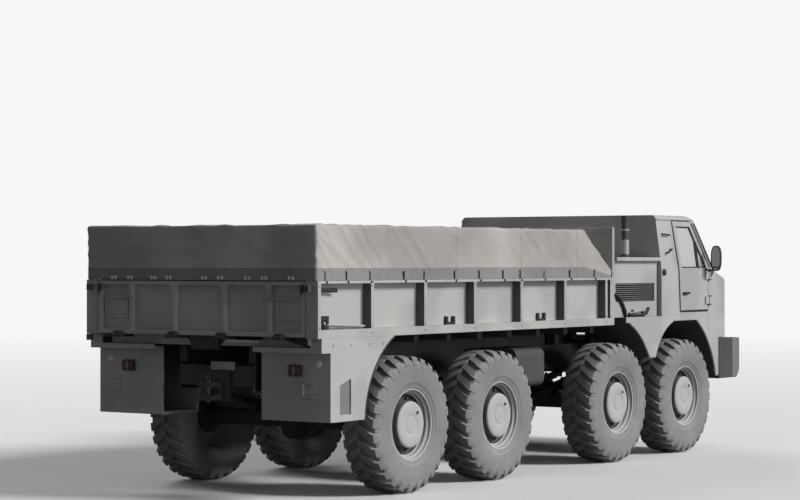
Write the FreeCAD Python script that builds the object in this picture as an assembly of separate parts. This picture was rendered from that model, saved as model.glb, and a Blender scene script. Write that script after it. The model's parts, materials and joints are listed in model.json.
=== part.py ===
"""Eight-wheeled military cargo truck: forward control cab, engine box behind it,
dropside cargo bed with bows and a canvas tilt. Millimetres, +X forward, +Y left,
+Z up, origin on the ground under the middle of the truck's box. An offset is a
distance forward of the rear axle."""

import FreeCAD, Part
import math
import os

V = FreeCAD.Vector
os.makedirs("parts", exist_ok=True)

# Tyres, wheels and axle places
tyre_radius = 680.0
tyre_half_width = 215.0
lug_height = 32.0
lugs_per_tyre = 22
lug_half_angle = math.radians(2.9)
lug_sweep = math.radians(8.0)
tread_half_width = 178.0
tread_shoulder_drop = 12.0
sidewall_radius = 556.0
bead_radius = 352.0
bead_half_width = 186.0
wheel_centre_y = 1225.0
rear_axle_x = -2845.0
rear_pair_spacing = 1650.0
middle_spacing = 2550.0
front_pair_spacing = 1650.0

rim_wall = 12.0
rim_root_radius = 300.0
rim_disc_thickness = 14.0
rim_disc_y = 48.0
hub_drum_radius = 232.0
hub_cap_setback = 34.0
spindle_radius = 55.0
spindle_clearance = 0.3
spindle_end_y = 118.0
bearing_gap = 4.0

# Axles, knuckles and springs
bar_sides = 12
arch_steps = 8
corner_steps = 4
axle_tube_radius = 85.0
diff_radius = 210.0
diff_half_width = 150.0
diff_cap_share = 0.55
kingpin_y = 1100.0
kingpin_radius = 28.0
kingpin_clearance = 0.3
yoke_radius = 36.0
yoke_inner = 132.0
yoke_thickness = 40.0
yoke_plate_y = 150.0
yoke_plate_thickness = 36.0
knuckle_gap = 6.0
flange_radius = 190.0
flange_thickness = 18.0
flange_offset = 56.0
steering_arm_length = 210.0
steering_arm_size = 40.0
leaf_y = 530.0
leaf_width = 90.0
leaf_thickness = 70.0
leaf_half_span = 600.0
leaf_rise = 150.0
spring_pad_height = 40.0
hanger_width = 70.0
hanger_lap = 90.0
drive_shaft_radius = 50.0
transfer_half_length = 300.0
transfer_half_width = 210.0
transfer_height = 420.0
transfer_hanger = 120.0
transfer_hanger_height = 90.0

# Chassis frame
frame_half_spacing = 430.0
rail_width = 85.0
rail_height = 280.0
rail_wall = 12.0
rail_top_z = 1320.0
frame_rear_offset = -1300.0
cross_member_depth = 120.0
cross_member_height = 200.0
bracket_width = 80.0
engine_bracket_setback = 290.0
cab_bracket_setback = 60.0
front_bracket_setback = 1130.0
bracket_arm = 60.0
nose_post_setback = 160.0

# Cargo bed
half_width = 1440.0
bed_rear_offset = -1600.0
bed_length = 5610.0
floor_top_z = 1650.0
sill_height = 80.0
floor_thickness = 40.0
side_height = 460.0
side_rail_height = 26.0
side_depth = 100.0
side_panel = 40.0
rib_width = 50.0
rib_end_clear = 50.0
rib_first = 860.0
rib_pitch = 918.0
bearer_height = 90.0
bearer_width = 80.0
bearer_count = 10
bearer_end_gap = 220.0
gate_gap = 8.0
gate_thickness = 96.0
gate_drop = 70.0
gate_top_gap = 5.0
gate_sill = 45.0
gate_rail = 40.0
gate_post_places = (310.0, 860.0)
gate_panel_round = 60.0
hatch_frame_width = 300.0
hatch_frame_height = 210.0
hatch_frame_bar = 26.0
hatch_frame_depth = 14.0
hinge_stand_out = 70.0
hinge_barrel_radius = 20.0
hinge_barrel_length = 90.0
hinge_inner_y = 300.0
hinge_outer_inset = 440.0
hinge_ear_width = 14.0
hinge_ear_reach = 60.0
hinge_play = 0.3
corner_lug_height = 60.0
corner_lug_inset = 60.0
corner_lug_width = 30.0
corner_lug_drop = 100.0
headboard_thickness = 50.0
headboard_recess = 20.0
headboard_post = 60.0
headboard_rise = 570.0
plate_bracket_width = 340.0
plate_bracket_depth = 60.0
plate_bracket_height = 130.0
gate_step_y = 370.0
gate_step_length = 350.0
gate_step_drop = 50.0
gate_step_thickness = 25.0
gate_step_stand_out = 40.0

# Side latches and rope hooks
latch_depth = 26.0
latch_bar_height = 26.0
upper_latch_length = 360.0
upper_latch_drop = 45.0
lower_latch_length = 190.0
lower_latch_height = 130.0
lower_latch_open = 70.0
rod_length = 700.0
rod_radius = 12.0
hook_places = (2370.0, 4177.0)
hook_spacing = 130.0
hook_width = 42.0
hook_height = 85.0

# Tilt and bows
tilt_rise = 538.0
tilt_wall = 10.0
tilt_side_inset = 6.0
tilt_gate_clear = 8.0
tilt_overhang = 15.0
tilt_slope_length = 620.0
tilt_front_rise = 90.0
bow_size = 40.0
bow_gap = 0.3
bow_count = 6
bow_inset = 40.0
bow_front_gap = 60.0

# Rear mudguards
skirt_bottom_z = 778.0
skirt_wall = 30.0
skirt_inner_y = 620.0
skirt_arch_top_offset = -330.0
skirt_arch_mid_offset = -650.0
skirt_arch_mid_z = 1300.0
skirt_front_offset = -840.0
skirt_rear_offset = -1400.0
skirt_upper_rear_offset = -1540.0
skirt_step_z = 1430.0
recess_rear_offset = -1250.0
recess_length = 180.0
recess_low_z = 840.0
recess_high_z = 1180.0
recess_slant = 60.0
recess_depth = 18.0
ring_y = 1185.0
ring_z = 1075.0
ring_radius = 75.0
ring_bar = 22.0

# Cab
cab_rear_offset = 5200.0
cab_roof_front_offset = 6140.0
cab_roof_z = 2840.0
cab_wall = 50.0
cab_floor_z = 1650.0
screen_base_offset = 6580.0
screen_base_z = 2170.0
nose_top_offset = 6880.0
nose_top_z = 2070.0
nose_bottom_offset = 6960.0
nose_bottom_z = 1450.0
nose_step_offset = 6420.0
roof_lean = 88.0
shoulder_z = 2200.0
roof_front_round = 250.0
roof_side_round = 60.0
nose_round = 90.0
corner_round = 130.0

door_gap = 8.0
door_rear_gap = 14.0
door_rear_offset = 5680.0
door_rear_lean = 80.0
door_front_offset = 6415.0
door_sill = 50.0
door_header = 60.0
pillar_width = 110.0
window_sill_height = 45.0
window_header = 70.0
window_edge = 65.0
vent_bar = 25.0
vent_bar_offset = 6160.0
door_hinge_out = 17.0
door_hinge_radius = 14.0
door_hinge_length = 90.0
door_hinge_drop = (80.0, 380.0)
door_hinge_leaf = 90.0
hinge_ear = 12.0
hinge_ear_leaf = 40.0
hinge_ear_lap = 5.0
handle_inset = 60.0
handle_length = 130.0
handle_stand_out = 35.0
handle_height = 25.0
handle_drop = 300.0
glass_depth = 20.0
glass_thickness = 6.0
screen_sill = 80.0
screen_header = 90.0
screen_post = 40.0
screen_side = 122.0
screen_cut_front = 40.0
screen_cut_back = 150.0
rear_window_half_width = 450.0
rear_window_low = 250.0
rear_window_height = 240.0
mirror_offset = 6330.0
mirror_depth = 50.0
mirror_width = 140.0
mirror_height = 310.0
mirror_stand_out = 70.0
mirror_arm = 20.0
mirror_corner = 40.0

seat_half_width = 250.0
seat_wall_gap = 370.0
seat_rear_gap = 60.0
seat_length = 560.0
seat_base_height = 220.0
seat_cushion_height = 120.0
seat_back_height = 560.0
seat_back_thickness = 140.0
seat_back_lean = 40.0
dash_depth = 75.0
dash_lean = 25.0
dash_low_z = 1950.0
dash_high_z = 2100.0
steering_offset = 6240.0
steering_z = 2080.0
steering_radius = 256.0
steering_rim = 14.0
steering_spoke = 16.0
steering_lean = 28.0
steering_column_radius = 30.0

# Engine and its cover
engine_cover_front_gap = 20.0
engine_cover_rear_offset = 4120.0
engine_cover_setback = 55.0
engine_lid_top_z = 2340.0
engine_lid_thickness = 40.0
engine_cover_wall = 30.0
vent_bottom_z = 1830.0
vent_top_z = 2040.0
vent_inset = 30.0
slat_count = 9
slat_thickness = 8.0
slat_depth = 22.0
slat_setback = 8.0
stack_offset = 4800.0
stack_y = -1170.0
stack_radius = 42.0
stack_height = 490.0
engine_clear = 100.0
engine_length = 900.0
engine_half_width = 330.0
engine_top_gap = 120.0
engine_foot = 60.0
engine_foot_inset = 100.0

# Front wings, bumper and lamps
fender_inner_y = 760.0
fender_wall = 20.0
fender_rear_offset = 4340.0
arch_top_z = 1585.0
arch_tip_z = 1170.0
arch_end_z = 890.0
arch_behind_second = (230.0, 490.0, 720.0)
arch_behind_second_z = 1430.0
arch_before_first = (-810.0, -620.0, -360.0)
arch_before_first_z = 1440.0
arch_past_first = (270.0, 590.0, 780.0)
arch_past_first_z = 1300.0
bumper_gap = 20.0
bumper_wing_offset = 6710.0
bumper_wing_width = 240.0
bumper_beam_offset = 7020.0
bumper_front_offset = 7360.0
bumper_bottom_z = 850.0
bumper_top_z = 1340.0
bumper_chamfer = 160.0
bumper_corner = 120.0
headlamp_radius = 105.0
headlamp_lens_radius = 84.0
headlamp_y = 1080.0
headlamp_z = 1160.0
headlamp_depth = 70.0
headlamp_gap = 10.0
grille_low_z = 1540.0
grille_high_z = 1960.0
grille_half_width = 520.0
grille_bar = 40.0
grille_depth = 20.0
grille_slats = 6

# Fuel tanks and rear fittings
tank_rear_offset = 2400.0
tank_length = 590.0
tank_inner_y = 620.0
tank_depth = 530.0
tank_bottom_z = 920.0
tank_height = 430.0
tank_round = 90.0
tank_strap = 60.0
tank_strap_inset = 90.0
tail_lamp_y = 1040.0
tail_lamp_z = 1260.0
tail_lamp_width = 150.0
tail_lamp_height = 110.0
tail_lamp_depth = 60.0
hitch_plate_thickness = 30.0
hitch_plate_half_width = 180.0
hitch_low_z = 930.0
hitch_high_z = 1230.0
hitch_jaw_length = 170.0
hitch_jaw_half_width = 90.0
hitch_jaw_low_z = 950.0
hitch_jaw_thickness = 45.0
hitch_mouth = 80.0
hitch_mouth_depth = 120.0
hitch_pin_radius = 25.0
hitch_pin_setback = 110.0

# Places worked out from the sizes above
axle_z = tyre_radius
axle_x = (
    rear_axle_x + rear_pair_spacing + middle_spacing + front_pair_spacing,
    rear_axle_x + rear_pair_spacing + middle_spacing,
    rear_axle_x + rear_pair_spacing,
    rear_axle_x,
)
steered = (True, True, False, False)
flange_y = kingpin_y + flange_offset - wheel_centre_y
spring_seat_z = axle_z + axle_tube_radius + spring_pad_height
rail_outer = frame_half_spacing + rail_width / 2
rail_inner = rail_outer - rail_width
rail_bottom_z = rail_top_z - rail_height
lip_z = rail_bottom_z + rail_wall
frame_rear = rear_axle_x + frame_rear_offset
bed_rear = rear_axle_x + bed_rear_offset
bed_front = bed_rear + bed_length
bed_bottom_z = floor_top_z - sill_height
rail_z = floor_top_z + side_height
bed_inner = half_width - side_depth - side_panel
gate_top_z = rail_z - gate_top_gap
gate_axis_x = bed_rear - hinge_stand_out + hinge_barrel_radius
hinge_places = (hinge_inner_y, half_width - hinge_outer_inset)
tilt_top_z = rail_z + tilt_rise
tilt_y = half_width - tilt_side_inset
tilt_slope_x = bed_front - tilt_slope_length
rib_count = 1 + int((bed_length - rib_first - rib_end_clear) // rib_pitch)
rib_places = [bed_rear + rib_first + i * rib_pitch for i in range(rib_count)]
bumper_rear = rear_axle_x + bumper_beam_offset
bumper_front = rear_axle_x + bumper_front_offset
cab_rear = rear_axle_x + cab_rear_offset
roof_half_width = half_width - roof_lean
door_bottom_z = cab_floor_z + door_sill
door_top_z = cab_roof_z - door_header
door_hinge_x = rear_axle_x + door_front_offset - door_gap / 2
door_hinge_y = half_width + door_hinge_out
door_hinge_z = [shoulder_z - drop for drop in door_hinge_drop]
window_sill_z = screen_base_z + window_sill_height
window_top_z = door_top_z - window_header
cab_inner_floor_z = cab_floor_z + cab_wall
engine_cover_front = cab_rear - engine_cover_front_gap
engine_cover_rear = rear_axle_x + engine_cover_rear_offset
engine_cover_half_width = half_width - engine_cover_setback
engine_front = engine_cover_front - engine_clear
engine_rear = engine_front - engine_length
cab_bracket_places = [engine_cover_rear + engine_bracket_setback, cab_rear + cab_bracket_setback,
                      cab_rear + front_bracket_setback]


def box(x0, x1, y0, y1, z0, z1):
    return Part.makeBox(x1 - x0, y1 - y0, z1 - z0, V(x0, y0, z0))


def side_box(x0, x1, y0, y1, z0, z1, side):
    """A box whose y0 and y1 are measured outwards on one side of the truck."""
    near, far = sorted((side * y0, side * y1))
    return box(x0, x1, near, far, z0, z1)


def face(points):
    return Part.Face(Part.makePolygon(list(points) + [points[0]]))


def prism_xz(points, y0, y1):
    """A side outline of (x, z) points, extruded from y0 to y1."""
    return face([V(x, y0, z) for x, z in points]).extrude(V(0, y1 - y0, 0))


def prism_yz(points, x0, x1):
    return face([V(x0, y, z) for y, z in points]).extrude(V(x1 - x0, 0, 0))


def line(a, b):
    return Part.LineSegment(V(a[0], 0, a[1]), V(b[0], 0, b[1])).toShape()


def chords(a, b, c, steps):
    """The arc from a through b to c as this many straight edges."""
    points = Part.Arc(a, b, c).toShape().discretize(steps + 1)
    return [Part.LineSegment(p, q).toShape() for p, q in zip(points, points[1:])]


def arc(a, b, c):
    return chords(V(a[0], 0, a[1]), V(b[0], 0, b[1]), V(c[0], 0, c[1]), arch_steps)


def rounded_face(corners):
    """A flat face from (point, radius) corners, each radius rounding its corner."""
    edges = []
    last = None
    first = None
    count = len(corners)
    for i, (point, radius) in enumerate(corners):
        back = (corners[i - 1][0] - point).normalize()
        ahead = (corners[(i + 1) % count][0] - point).normalize()
        if radius:
            half = back.getAngle(ahead) / 2
            start = point + back * (radius / math.tan(half))
            end = point + ahead * (radius / math.tan(half))
            middle = point + (back + ahead).normalize() * (radius / math.sin(half) - radius)
        else:
            start = end = point
        if last:
            edges.append(Part.LineSegment(last, start).toShape())
        if radius:
            edges += chords(start, middle, end, corner_steps)
        first = first or start
        last = end
    edges.append(Part.LineSegment(last, first).toShape())
    return Part.Face(Part.Wire(edges))


def inset_face(outline, wall):
    """The flat face with every side of its outline moved in by wall."""
    points = [vertex.Point for vertex in outline.OuterWire.OrderedVertexes]
    up = sum((p.cross(q) for p, q in zip(points, points[1:] + points[:1])), V(0, 0, 0)).normalize()
    corners = []
    for last, here, following in zip(points[-1:] + points, points, points[1:] + points[:1]):
        a = up.cross((here - last).normalize())
        b = up.cross((following - here).normalize())
        corners.append(here + (a + b) * (wall / (1 + a.dot(b))))
    return face(corners)


def rod(centre, axis, radius, length):
    """A round bar that starts at centre and runs along axis."""
    return Part.makeCylinder(radius, length, centre, axis)


def bar(centre, axis, radius, length, sides=bar_sides):
    """A bar of many flat sides, radius to its corners, that starts at centre."""
    ring = [V(radius * math.cos(a), radius * math.sin(a), 0)
            for a in (math.pi * (2 * k + 1) / sides for k in range(sides))]
    solid = face(ring).extrude(V(0, 0, length))
    solid.Placement = FreeCAD.Placement(centre, FreeCAD.Rotation(V(0, 0, 1), axis))
    return solid


def socket(centre, axis, radius, clearance, length):
    """The cutter of a many-sided hole that a bar of this radius turns in.

    Its flats face the bar's corners, so that the two lie clearance apart.
    """
    hole = bar(V(0, 0, 0), V(0, 0, 1), (radius + clearance) / math.cos(math.pi / bar_sides), length)
    hole.rotate(V(0, 0, 0), V(0, 0, 1), math.degrees(math.pi / bar_sides))
    hole.Placement = FreeCAD.Placement(centre, FreeCAD.Rotation(V(0, 0, 1), axis)).multiply(hole.Placement)
    return hole


def fuse(shapes):
    joined = shapes[0].multiFuse(shapes[1:]) if len(shapes) > 1 else shapes[0]
    return joined.removeSplitter()


def mirrored(shape):
    """The same piece on the other side of the truck."""
    return shape.mirror(V(0, 0, 0), V(0, 1, 0))


def both_sides(shape):
    return Part.makeCompound([shape, mirrored(shape)])


def solid_of(faces):
    """A closed solid of flat faces that share their corners."""
    shell = Part.makeShell(faces)
    shell.sewShape()
    solid = Part.makeSolid(shell)
    if solid.Volume < 0:
        solid.reverse()
    return solid


def turned(profile, sides, centre, side=1.0, phase=0.0):
    """A many-sided turning about Y. profile is a closed loop of (radius, y)."""
    def corner(radius, y, k):
        a = phase + 2 * math.pi * k / sides
        return V(centre.x + radius * math.sin(a), centre.y + side * y, centre.z - radius * math.cos(a))
    faces = []
    for (r0, y0), (r1, y1) in zip(profile, profile[1:] + profile[:1]):
        if r0 == 0 and r1 == 0:
            continue
        if y0 == y1 and 0 in (r0, r1):
            faces.append(face([corner(max(r0, r1), y0, k) for k in range(sides)]))
            continue
        for k in range(sides):
            quad = [corner(r0, y0, k), corner(r1, y1, k), corner(r1, y1, k + 1), corner(r0, y0, k + 1)]
            if r0 == 0:
                quad.pop(0)
            elif r1 == 0:
                quad.pop(1)
            faces.append(face(quad))
    return solid_of(faces)


def export(name, shape):
    shape.exportStep("parts/" + name + ".step")


def tyre(centre, side):
    """A tyre with swept lugs that meet in a V on the crown, standing on a flat lug."""
    pitch = 2 * math.pi / lugs_per_tyre
    flat = math.cos(lug_half_angle)
    top_middle = tyre_radius / flat
    top_edge = (tyre_radius - tread_shoulder_drop) / flat
    base = tyre_radius - lug_height

    def at(radius, angle, y):
        return V(centre.x + radius * math.sin(angle), centre.y + side * y, centre.z - radius * math.cos(angle))

    def triangles(a, b, c, d):
        return [face([a, b, c]), face([a, c, d])]

    faces = []
    for lug in range(lugs_per_tyre):
        middle = lug * pitch
        for out in (1, -1):
            edge_y = out * tread_half_width
            swept = middle + lug_sweep
            mid_a, mid_b = middle - lug_half_angle, middle + lug_half_angle
            end_a, end_b = swept - lug_half_angle, swept + lug_half_angle
            c_base_a, c_base_b = at(base, mid_a, 0), at(base, mid_b, 0)
            c_top_a, c_top_b = at(top_middle, mid_a, 0), at(top_middle, mid_b, 0)
            s_base_a, s_base_b = at(base, end_a, edge_y), at(base, end_b, edge_y)
            s_top_a, s_top_b = at(top_edge, end_a, edge_y), at(top_edge, end_b, edge_y)
            next_c, next_s = at(base, mid_a + pitch, 0), at(base, end_a + pitch, edge_y)
            faces += triangles(c_top_a, c_top_b, s_top_b, s_top_a)
            faces += triangles(c_base_a, c_top_a, s_top_a, s_base_a)
            faces += triangles(c_top_b, c_base_b, s_base_b, s_top_b)
            faces += triangles(c_base_b, next_c, next_s, s_base_b)
            bead = at(bead_radius, swept, out * bead_half_width)
            next_bead = at(bead_radius, swept + pitch, out * bead_half_width)
            if out > 0:
                wall_a, wall_b = (at(sidewall_radius, a, tyre_half_width) for a in (end_a, end_b))
                next_wall = at(sidewall_radius, end_a + pitch, tyre_half_width)
                faces += [face([s_top_a, s_top_b, wall_b, wall_a])]
                faces += [face([s_base_a, s_top_a, wall_a]), face([s_top_b, s_base_b, wall_b])]
                faces += [face([s_base_b, next_s, next_wall, wall_b])]
                faces += [face([wall_a, wall_b, bead]), face([wall_b, next_wall, next_bead, bead])]
                far_bead, far_next = (at(bead_radius, a, -bead_half_width) for a in (swept, swept + pitch))
                faces += [face([bead, next_bead, far_next, far_bead])]
            else:
                faces += [face([s_top_a, s_top_b, s_base_b, s_base_a])]
                faces += [face([s_base_a, s_base_b, bead]), face([s_base_b, next_s, next_bead, bead])]
    return solid_of(faces)


def wheel(centre, side):
    """A dished disc wheel with its hub drum, bored for the spindle."""
    cap_y = tyre_half_width - hub_cap_setback
    disc_out = rim_disc_y + rim_disc_thickness
    profile = [
        (0, rim_disc_y), (rim_root_radius, rim_disc_y), (bead_radius, -bead_half_width),
        (bead_radius, bead_half_width), (bead_radius - rim_wall, bead_half_width), (rim_root_radius, disc_out),
        (hub_drum_radius, disc_out), (hub_drum_radius, cap_y), (0, cap_y),
    ]
    body = turned(profile, lugs_per_tyre, centre, side, lug_sweep)
    start = centre + V(0, side * rim_disc_y, 0)
    depth = spindle_end_y + bearing_gap - rim_disc_y
    return body.cut(socket(start, V(0, side, 0), spindle_radius, spindle_clearance, depth))


def stub(centre, side):
    """The round back plate inboard of a hub, and the spindle that the hub turns on."""
    start = centre + V(0, side * flange_y, 0)
    outwards = V(0, side, 0)
    plate = bar(start, outwards, flange_radius, flange_thickness)
    return [plate, bar(start, outwards, spindle_radius, spindle_end_y - flange_y)]


def knuckle(x, side):
    """Kingpin, swivel, back plate, stub and steering arm of one steered wheel."""
    centre = V(x, side * wheel_centre_y, axle_z)
    up = V(0, 0, 1)
    reach = yoke_inner + yoke_thickness
    pin = bar(V(x, side * kingpin_y, axle_z - reach), up, kingpin_radius, 2 * reach)
    low = axle_z - yoke_inner + knuckle_gap
    high = axle_z + yoke_inner - knuckle_gap
    neck = side_box(x - yoke_radius, x + yoke_radius, kingpin_y - yoke_radius, kingpin_y + flange_offset,
                    low, high, side)
    arm = side_box(x - steering_arm_length, x, kingpin_y - steering_arm_size / 2, kingpin_y + steering_arm_size / 2,
                   low, low + steering_arm_size, side)
    return fuse([pin, neck, arm] + stub(centre, side))


def axle_end(x, side):
    """The yoke that holds a kingpin, with its two ears bored for it."""
    plate_in = kingpin_y - yoke_plate_y
    plate_out = plate_in + yoke_plate_thickness
    half = yoke_inner + yoke_thickness
    parts = [side_box(x - yoke_radius, x + yoke_radius, plate_in, plate_out, axle_z - half, axle_z + half, side)]
    for low in (axle_z - half, axle_z + yoke_inner):
        parts.append(side_box(x - yoke_radius, x + yoke_radius, plate_out, kingpin_y + yoke_radius,
                              low, low + yoke_thickness, side))
    start = V(x, side * kingpin_y, axle_z - half)
    return fuse(parts).cut(socket(start, V(0, 0, 1), kingpin_radius, kingpin_clearance, 2 * half))


def axle(x, is_steered):
    """A driven beam axle: tube, differential bowl, spring pads and its ends."""
    tube_half = kingpin_y - yoke_plate_y if is_steered else kingpin_y + flange_offset
    tube = bar(V(x, -tube_half, axle_z), V(0, 1, 0), axle_tube_radius, 2 * tube_half)
    cap_radius = diff_radius * diff_cap_share
    bowl_profile = [
        (0, -diff_half_width), (cap_radius, -diff_half_width), (diff_radius, -diff_half_width / 2),
        (diff_radius, diff_half_width / 2), (cap_radius, diff_half_width), (0, diff_half_width),
    ]
    parts = [tube, turned(bowl_profile, bar_sides, V(x, 0, axle_z), phase=math.pi / bar_sides)]
    for side in (1, -1):
        parts.append(side_box(x - axle_tube_radius, x + axle_tube_radius, leaf_y - leaf_width / 2,
                              leaf_y + leaf_width / 2, axle_z, spring_seat_z, side))
        if is_steered:
            parts.append(axle_end(x, side))
        else:
            parts += stub(V(x, side * wheel_centre_y, axle_z), side)
    return fuse(parts)


def leaf_spring(x, side):
    """A bundle of leaves: an arc that sags to the axle, with hangers up to the rail."""
    y0, y1 = sorted((side * (leaf_y - leaf_width / 2), side * (leaf_y + leaf_width / 2)))
    eye_z = spring_seat_z + leaf_rise
    low = [(x - leaf_half_span, eye_z), (x - axle_tube_radius, spring_seat_z),
           (x + axle_tube_radius, spring_seat_z), (x + leaf_half_span, eye_z)]
    high = [(px, pz + (leaf_thickness if abs(px - x) < leaf_half_span else leaf_thickness / 2)) for px, pz in low]
    parts = [prism_xz(low + high[::-1], y0, y1)]
    for end in (-1, 1):
        hx = x + end * leaf_half_span
        parts.append(side_box(hx - hanger_width / 2, hx + hanger_width / 2, rail_outer, leaf_y + leaf_width / 2,
                              eye_z, rail_bottom_z + hanger_lap, side))
    return fuse(parts)


def chassis_frame():
    """Two channel rails with their lips inwards, joined by cross members."""
    web = rail_outer - rail_wall
    channel = [
        (rail_outer, rail_bottom_z), (rail_outer, rail_top_z), (rail_inner, rail_top_z),
        (rail_inner, rail_top_z - rail_wall), (web, rail_top_z - rail_wall), (web, lip_z),
        (rail_inner, lip_z), (rail_inner, rail_bottom_z),
    ]
    rail = prism_yz(channel, frame_rear, bumper_rear)
    parts = [rail, mirrored(rail)]
    middle_z = (rail_top_z + rail_bottom_z) / 2
    low, high = middle_z - cross_member_height / 2, middle_z + cross_member_height / 2
    places = [frame_rear + cross_member_depth / 2, bumper_rear - cross_member_depth / 2]
    places += [x + end * leaf_half_span for x in axle_x for end in (-1, 1)]
    places = [x for x in places if not engine_rear - cross_member_depth < x < engine_front + cross_member_depth]
    for x in places:
        parts.append(box(x - cross_member_depth / 2, x + cross_member_depth / 2, -web, web, low, high))
    for x in cab_bracket_places:
        post = box(x - bracket_width / 2, x + bracket_width / 2, rail_inner, rail_outer, rail_top_z, cab_floor_z)
        arm = box(x - bracket_width / 2, x + bracket_width / 2, rail_outer, fender_inner_y,
                  cab_floor_z - bracket_arm, cab_floor_z)
        parts += [post, arm, mirrored(post), mirrored(arm)]
    nose_x = bumper_rear - nose_post_setback
    nose_post = box(nose_x, nose_x + bracket_width, rail_inner, rail_outer, rail_top_z, nose_bottom_z)
    parts += [nose_post, mirrored(nose_post)]
    return fuse(parts)


def drive_shafts():
    """The shafts along the middle line, from the transfer case out to the axle bowls."""
    bowl = diff_radius * math.cos(math.pi / bar_sides)
    case_x = (axle_x[1] + axle_x[2]) / 2
    shafts = []
    for start, end in (
        (axle_x[1] + bowl, axle_x[0] - bowl),
        (case_x + transfer_half_length, axle_x[1] - bowl),
        (axle_x[2] + bowl, case_x - transfer_half_length),
        (axle_x[3] + bowl, axle_x[2] - bowl),
    ):
        shafts.append(bar(V(start, 0, axle_z), V(1, 0, 0), drive_shaft_radius, end - start))
    return Part.makeCompound(shafts)


def transfer_case():
    x = (axle_x[1] + axle_x[2]) / 2
    reach = rail_outer - 2 * rail_wall
    top = lip_z + transfer_hanger_height
    body = box(x - transfer_half_length, x + transfer_half_length, -transfer_half_width, transfer_half_width,
               axle_z - transfer_height / 3, axle_z + transfer_height * 2 / 3)
    hanger = box(x - transfer_hanger / 2, x + transfer_hanger / 2, -reach, reach, lip_z, top)
    neck = box(x - transfer_hanger / 2, x + transfer_hanger / 2, -transfer_half_width, transfer_half_width,
               axle_z, top)
    return fuse([body, neck, hanger])


def cab_side_face():
    """The cab seen from the side, with its roof and nose corners rounded."""
    front = [
        (cab_rear_offset, cab_floor_z, 0), (nose_step_offset, cab_floor_z, 0), (nose_step_offset, nose_bottom_z, 0),
        (nose_bottom_offset, nose_bottom_z, 0), (nose_top_offset, nose_top_z, nose_round),
        (screen_base_offset, screen_base_z, 0), (cab_roof_front_offset, cab_roof_z, roof_front_round),
        (cab_rear_offset, cab_roof_z, 0),
    ]
    return rounded_face([(V(rear_axle_x + offset, 0, z), radius) for offset, z, radius in front])


def cab_cross_face():
    """The cab seen from the front, leaning in above its shoulder."""
    left = [(half_width, nose_bottom_z, 0), (half_width, shoulder_z, 0),
            (roof_half_width, cab_roof_z, roof_side_round)]
    right = [(-y, z, radius) for y, z, radius in left[::-1]]
    return rounded_face([(V(0, y, z), radius) for y, z, radius in left + right])


def plan_face():
    """The front of the truck seen from above, with its two corners rounded."""
    rear, front = engine_cover_rear, rear_axle_x + nose_bottom_offset
    corners = [(rear, -half_width, 0), (front, -half_width, corner_round), (front, half_width, corner_round),
               (rear, half_width, 0)]
    return rounded_face([(V(x, y, 0), radius) for x, y, radius in corners])


def cab_body(inset):
    """The cab's whole outline, every wall moved in by inset."""
    outlines = [cab_side_face(), cab_cross_face(), plan_face()]
    if inset:
        outlines = [inset_face(outline, inset) for outline in outlines]
    side, cross, plan = outlines
    side.translate(V(0, -half_width, 0))
    cross.translate(V(cab_rear, 0, 0))
    long_block = side.extrude(V(0, 2 * half_width, 0))
    cross_block = cross.extrude(V(nose_bottom_offset - cab_rear_offset, 0, 0))
    return long_block.common(cross_block).common(plan.extrude(V(0, 0, cab_roof_z)))


def door_outline(gap, rear_gap):
    """The door's side outline, drawn in by gap, or the doorway where gap is 0."""
    slope = (cab_roof_front_offset - screen_base_offset) / (cab_roof_z - screen_base_z)

    def pillar_x(z):
        return rear_axle_x + screen_base_offset + slope * (z - screen_base_z) - pillar_width - gap

    rear, front = rear_axle_x + door_rear_offset + rear_gap, rear_axle_x + door_front_offset - gap
    low, high = door_bottom_z + gap, door_top_z - gap
    bend_z = screen_base_z + (front + gap + pillar_width - rear_axle_x - screen_base_offset) / slope
    return [(rear, low), (front, low), (front, bend_z), (pillar_x(high), high), (rear - door_rear_lean, high)]


def window_outlines():
    """The door's main window and its vent window, either side of the upright bar."""
    door_points = door_outline(door_gap, door_rear_gap)
    (rear, low), (front, _), (_, bend_z), (top_front, high), (top_rear, _) = door_points
    lean = (top_rear - rear) / (high - low)
    slope = (top_front - front) / (high - bend_z)
    bar_x = rear_axle_x + vent_bar_offset

    def rear_x(z):
        return rear + lean * (z - low) + window_edge

    def front_x(z):
        return front + slope * (z - bend_z) - window_edge

    def pillar_z(x):
        return bend_z + (x + window_edge - front) / slope

    main_x, vent_x = bar_x - vent_bar / 2, bar_x + vent_bar / 2
    main = [(rear_x(window_sill_z), window_sill_z), (main_x, window_sill_z), (main_x, pillar_z(main_x)),
            (front_x(window_top_z), window_top_z), (rear_x(window_top_z), window_top_z)]
    vent = [(vent_x, window_sill_z), (front_x(window_sill_z), window_sill_z), (vent_x, pillar_z(vent_x))]
    return [main, vent]


def screen_openings():
    """Cutters for the two windscreen panes and the rear window."""
    front = rear_axle_x + screen_base_offset + screen_cut_front
    back = rear_axle_x + cab_roof_front_offset - screen_cut_back
    side_y = roof_half_width - screen_side
    low, high = screen_base_z + screen_sill, cab_roof_z - screen_header
    panes = [side_box(back, front, screen_post, side_y, low, high, side) for side in (1, -1)]
    rear_low = screen_base_z + rear_window_low
    panes.append(box(cab_rear - cab_wall, cab_rear + 2 * cab_wall, -rear_window_half_width, rear_window_half_width,
                     rear_low, rear_low + rear_window_height))
    return panes


def door_prism(outline):
    return prism_xz(outline, roof_half_width - 2 * cab_wall, half_width + door_gap)


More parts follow.
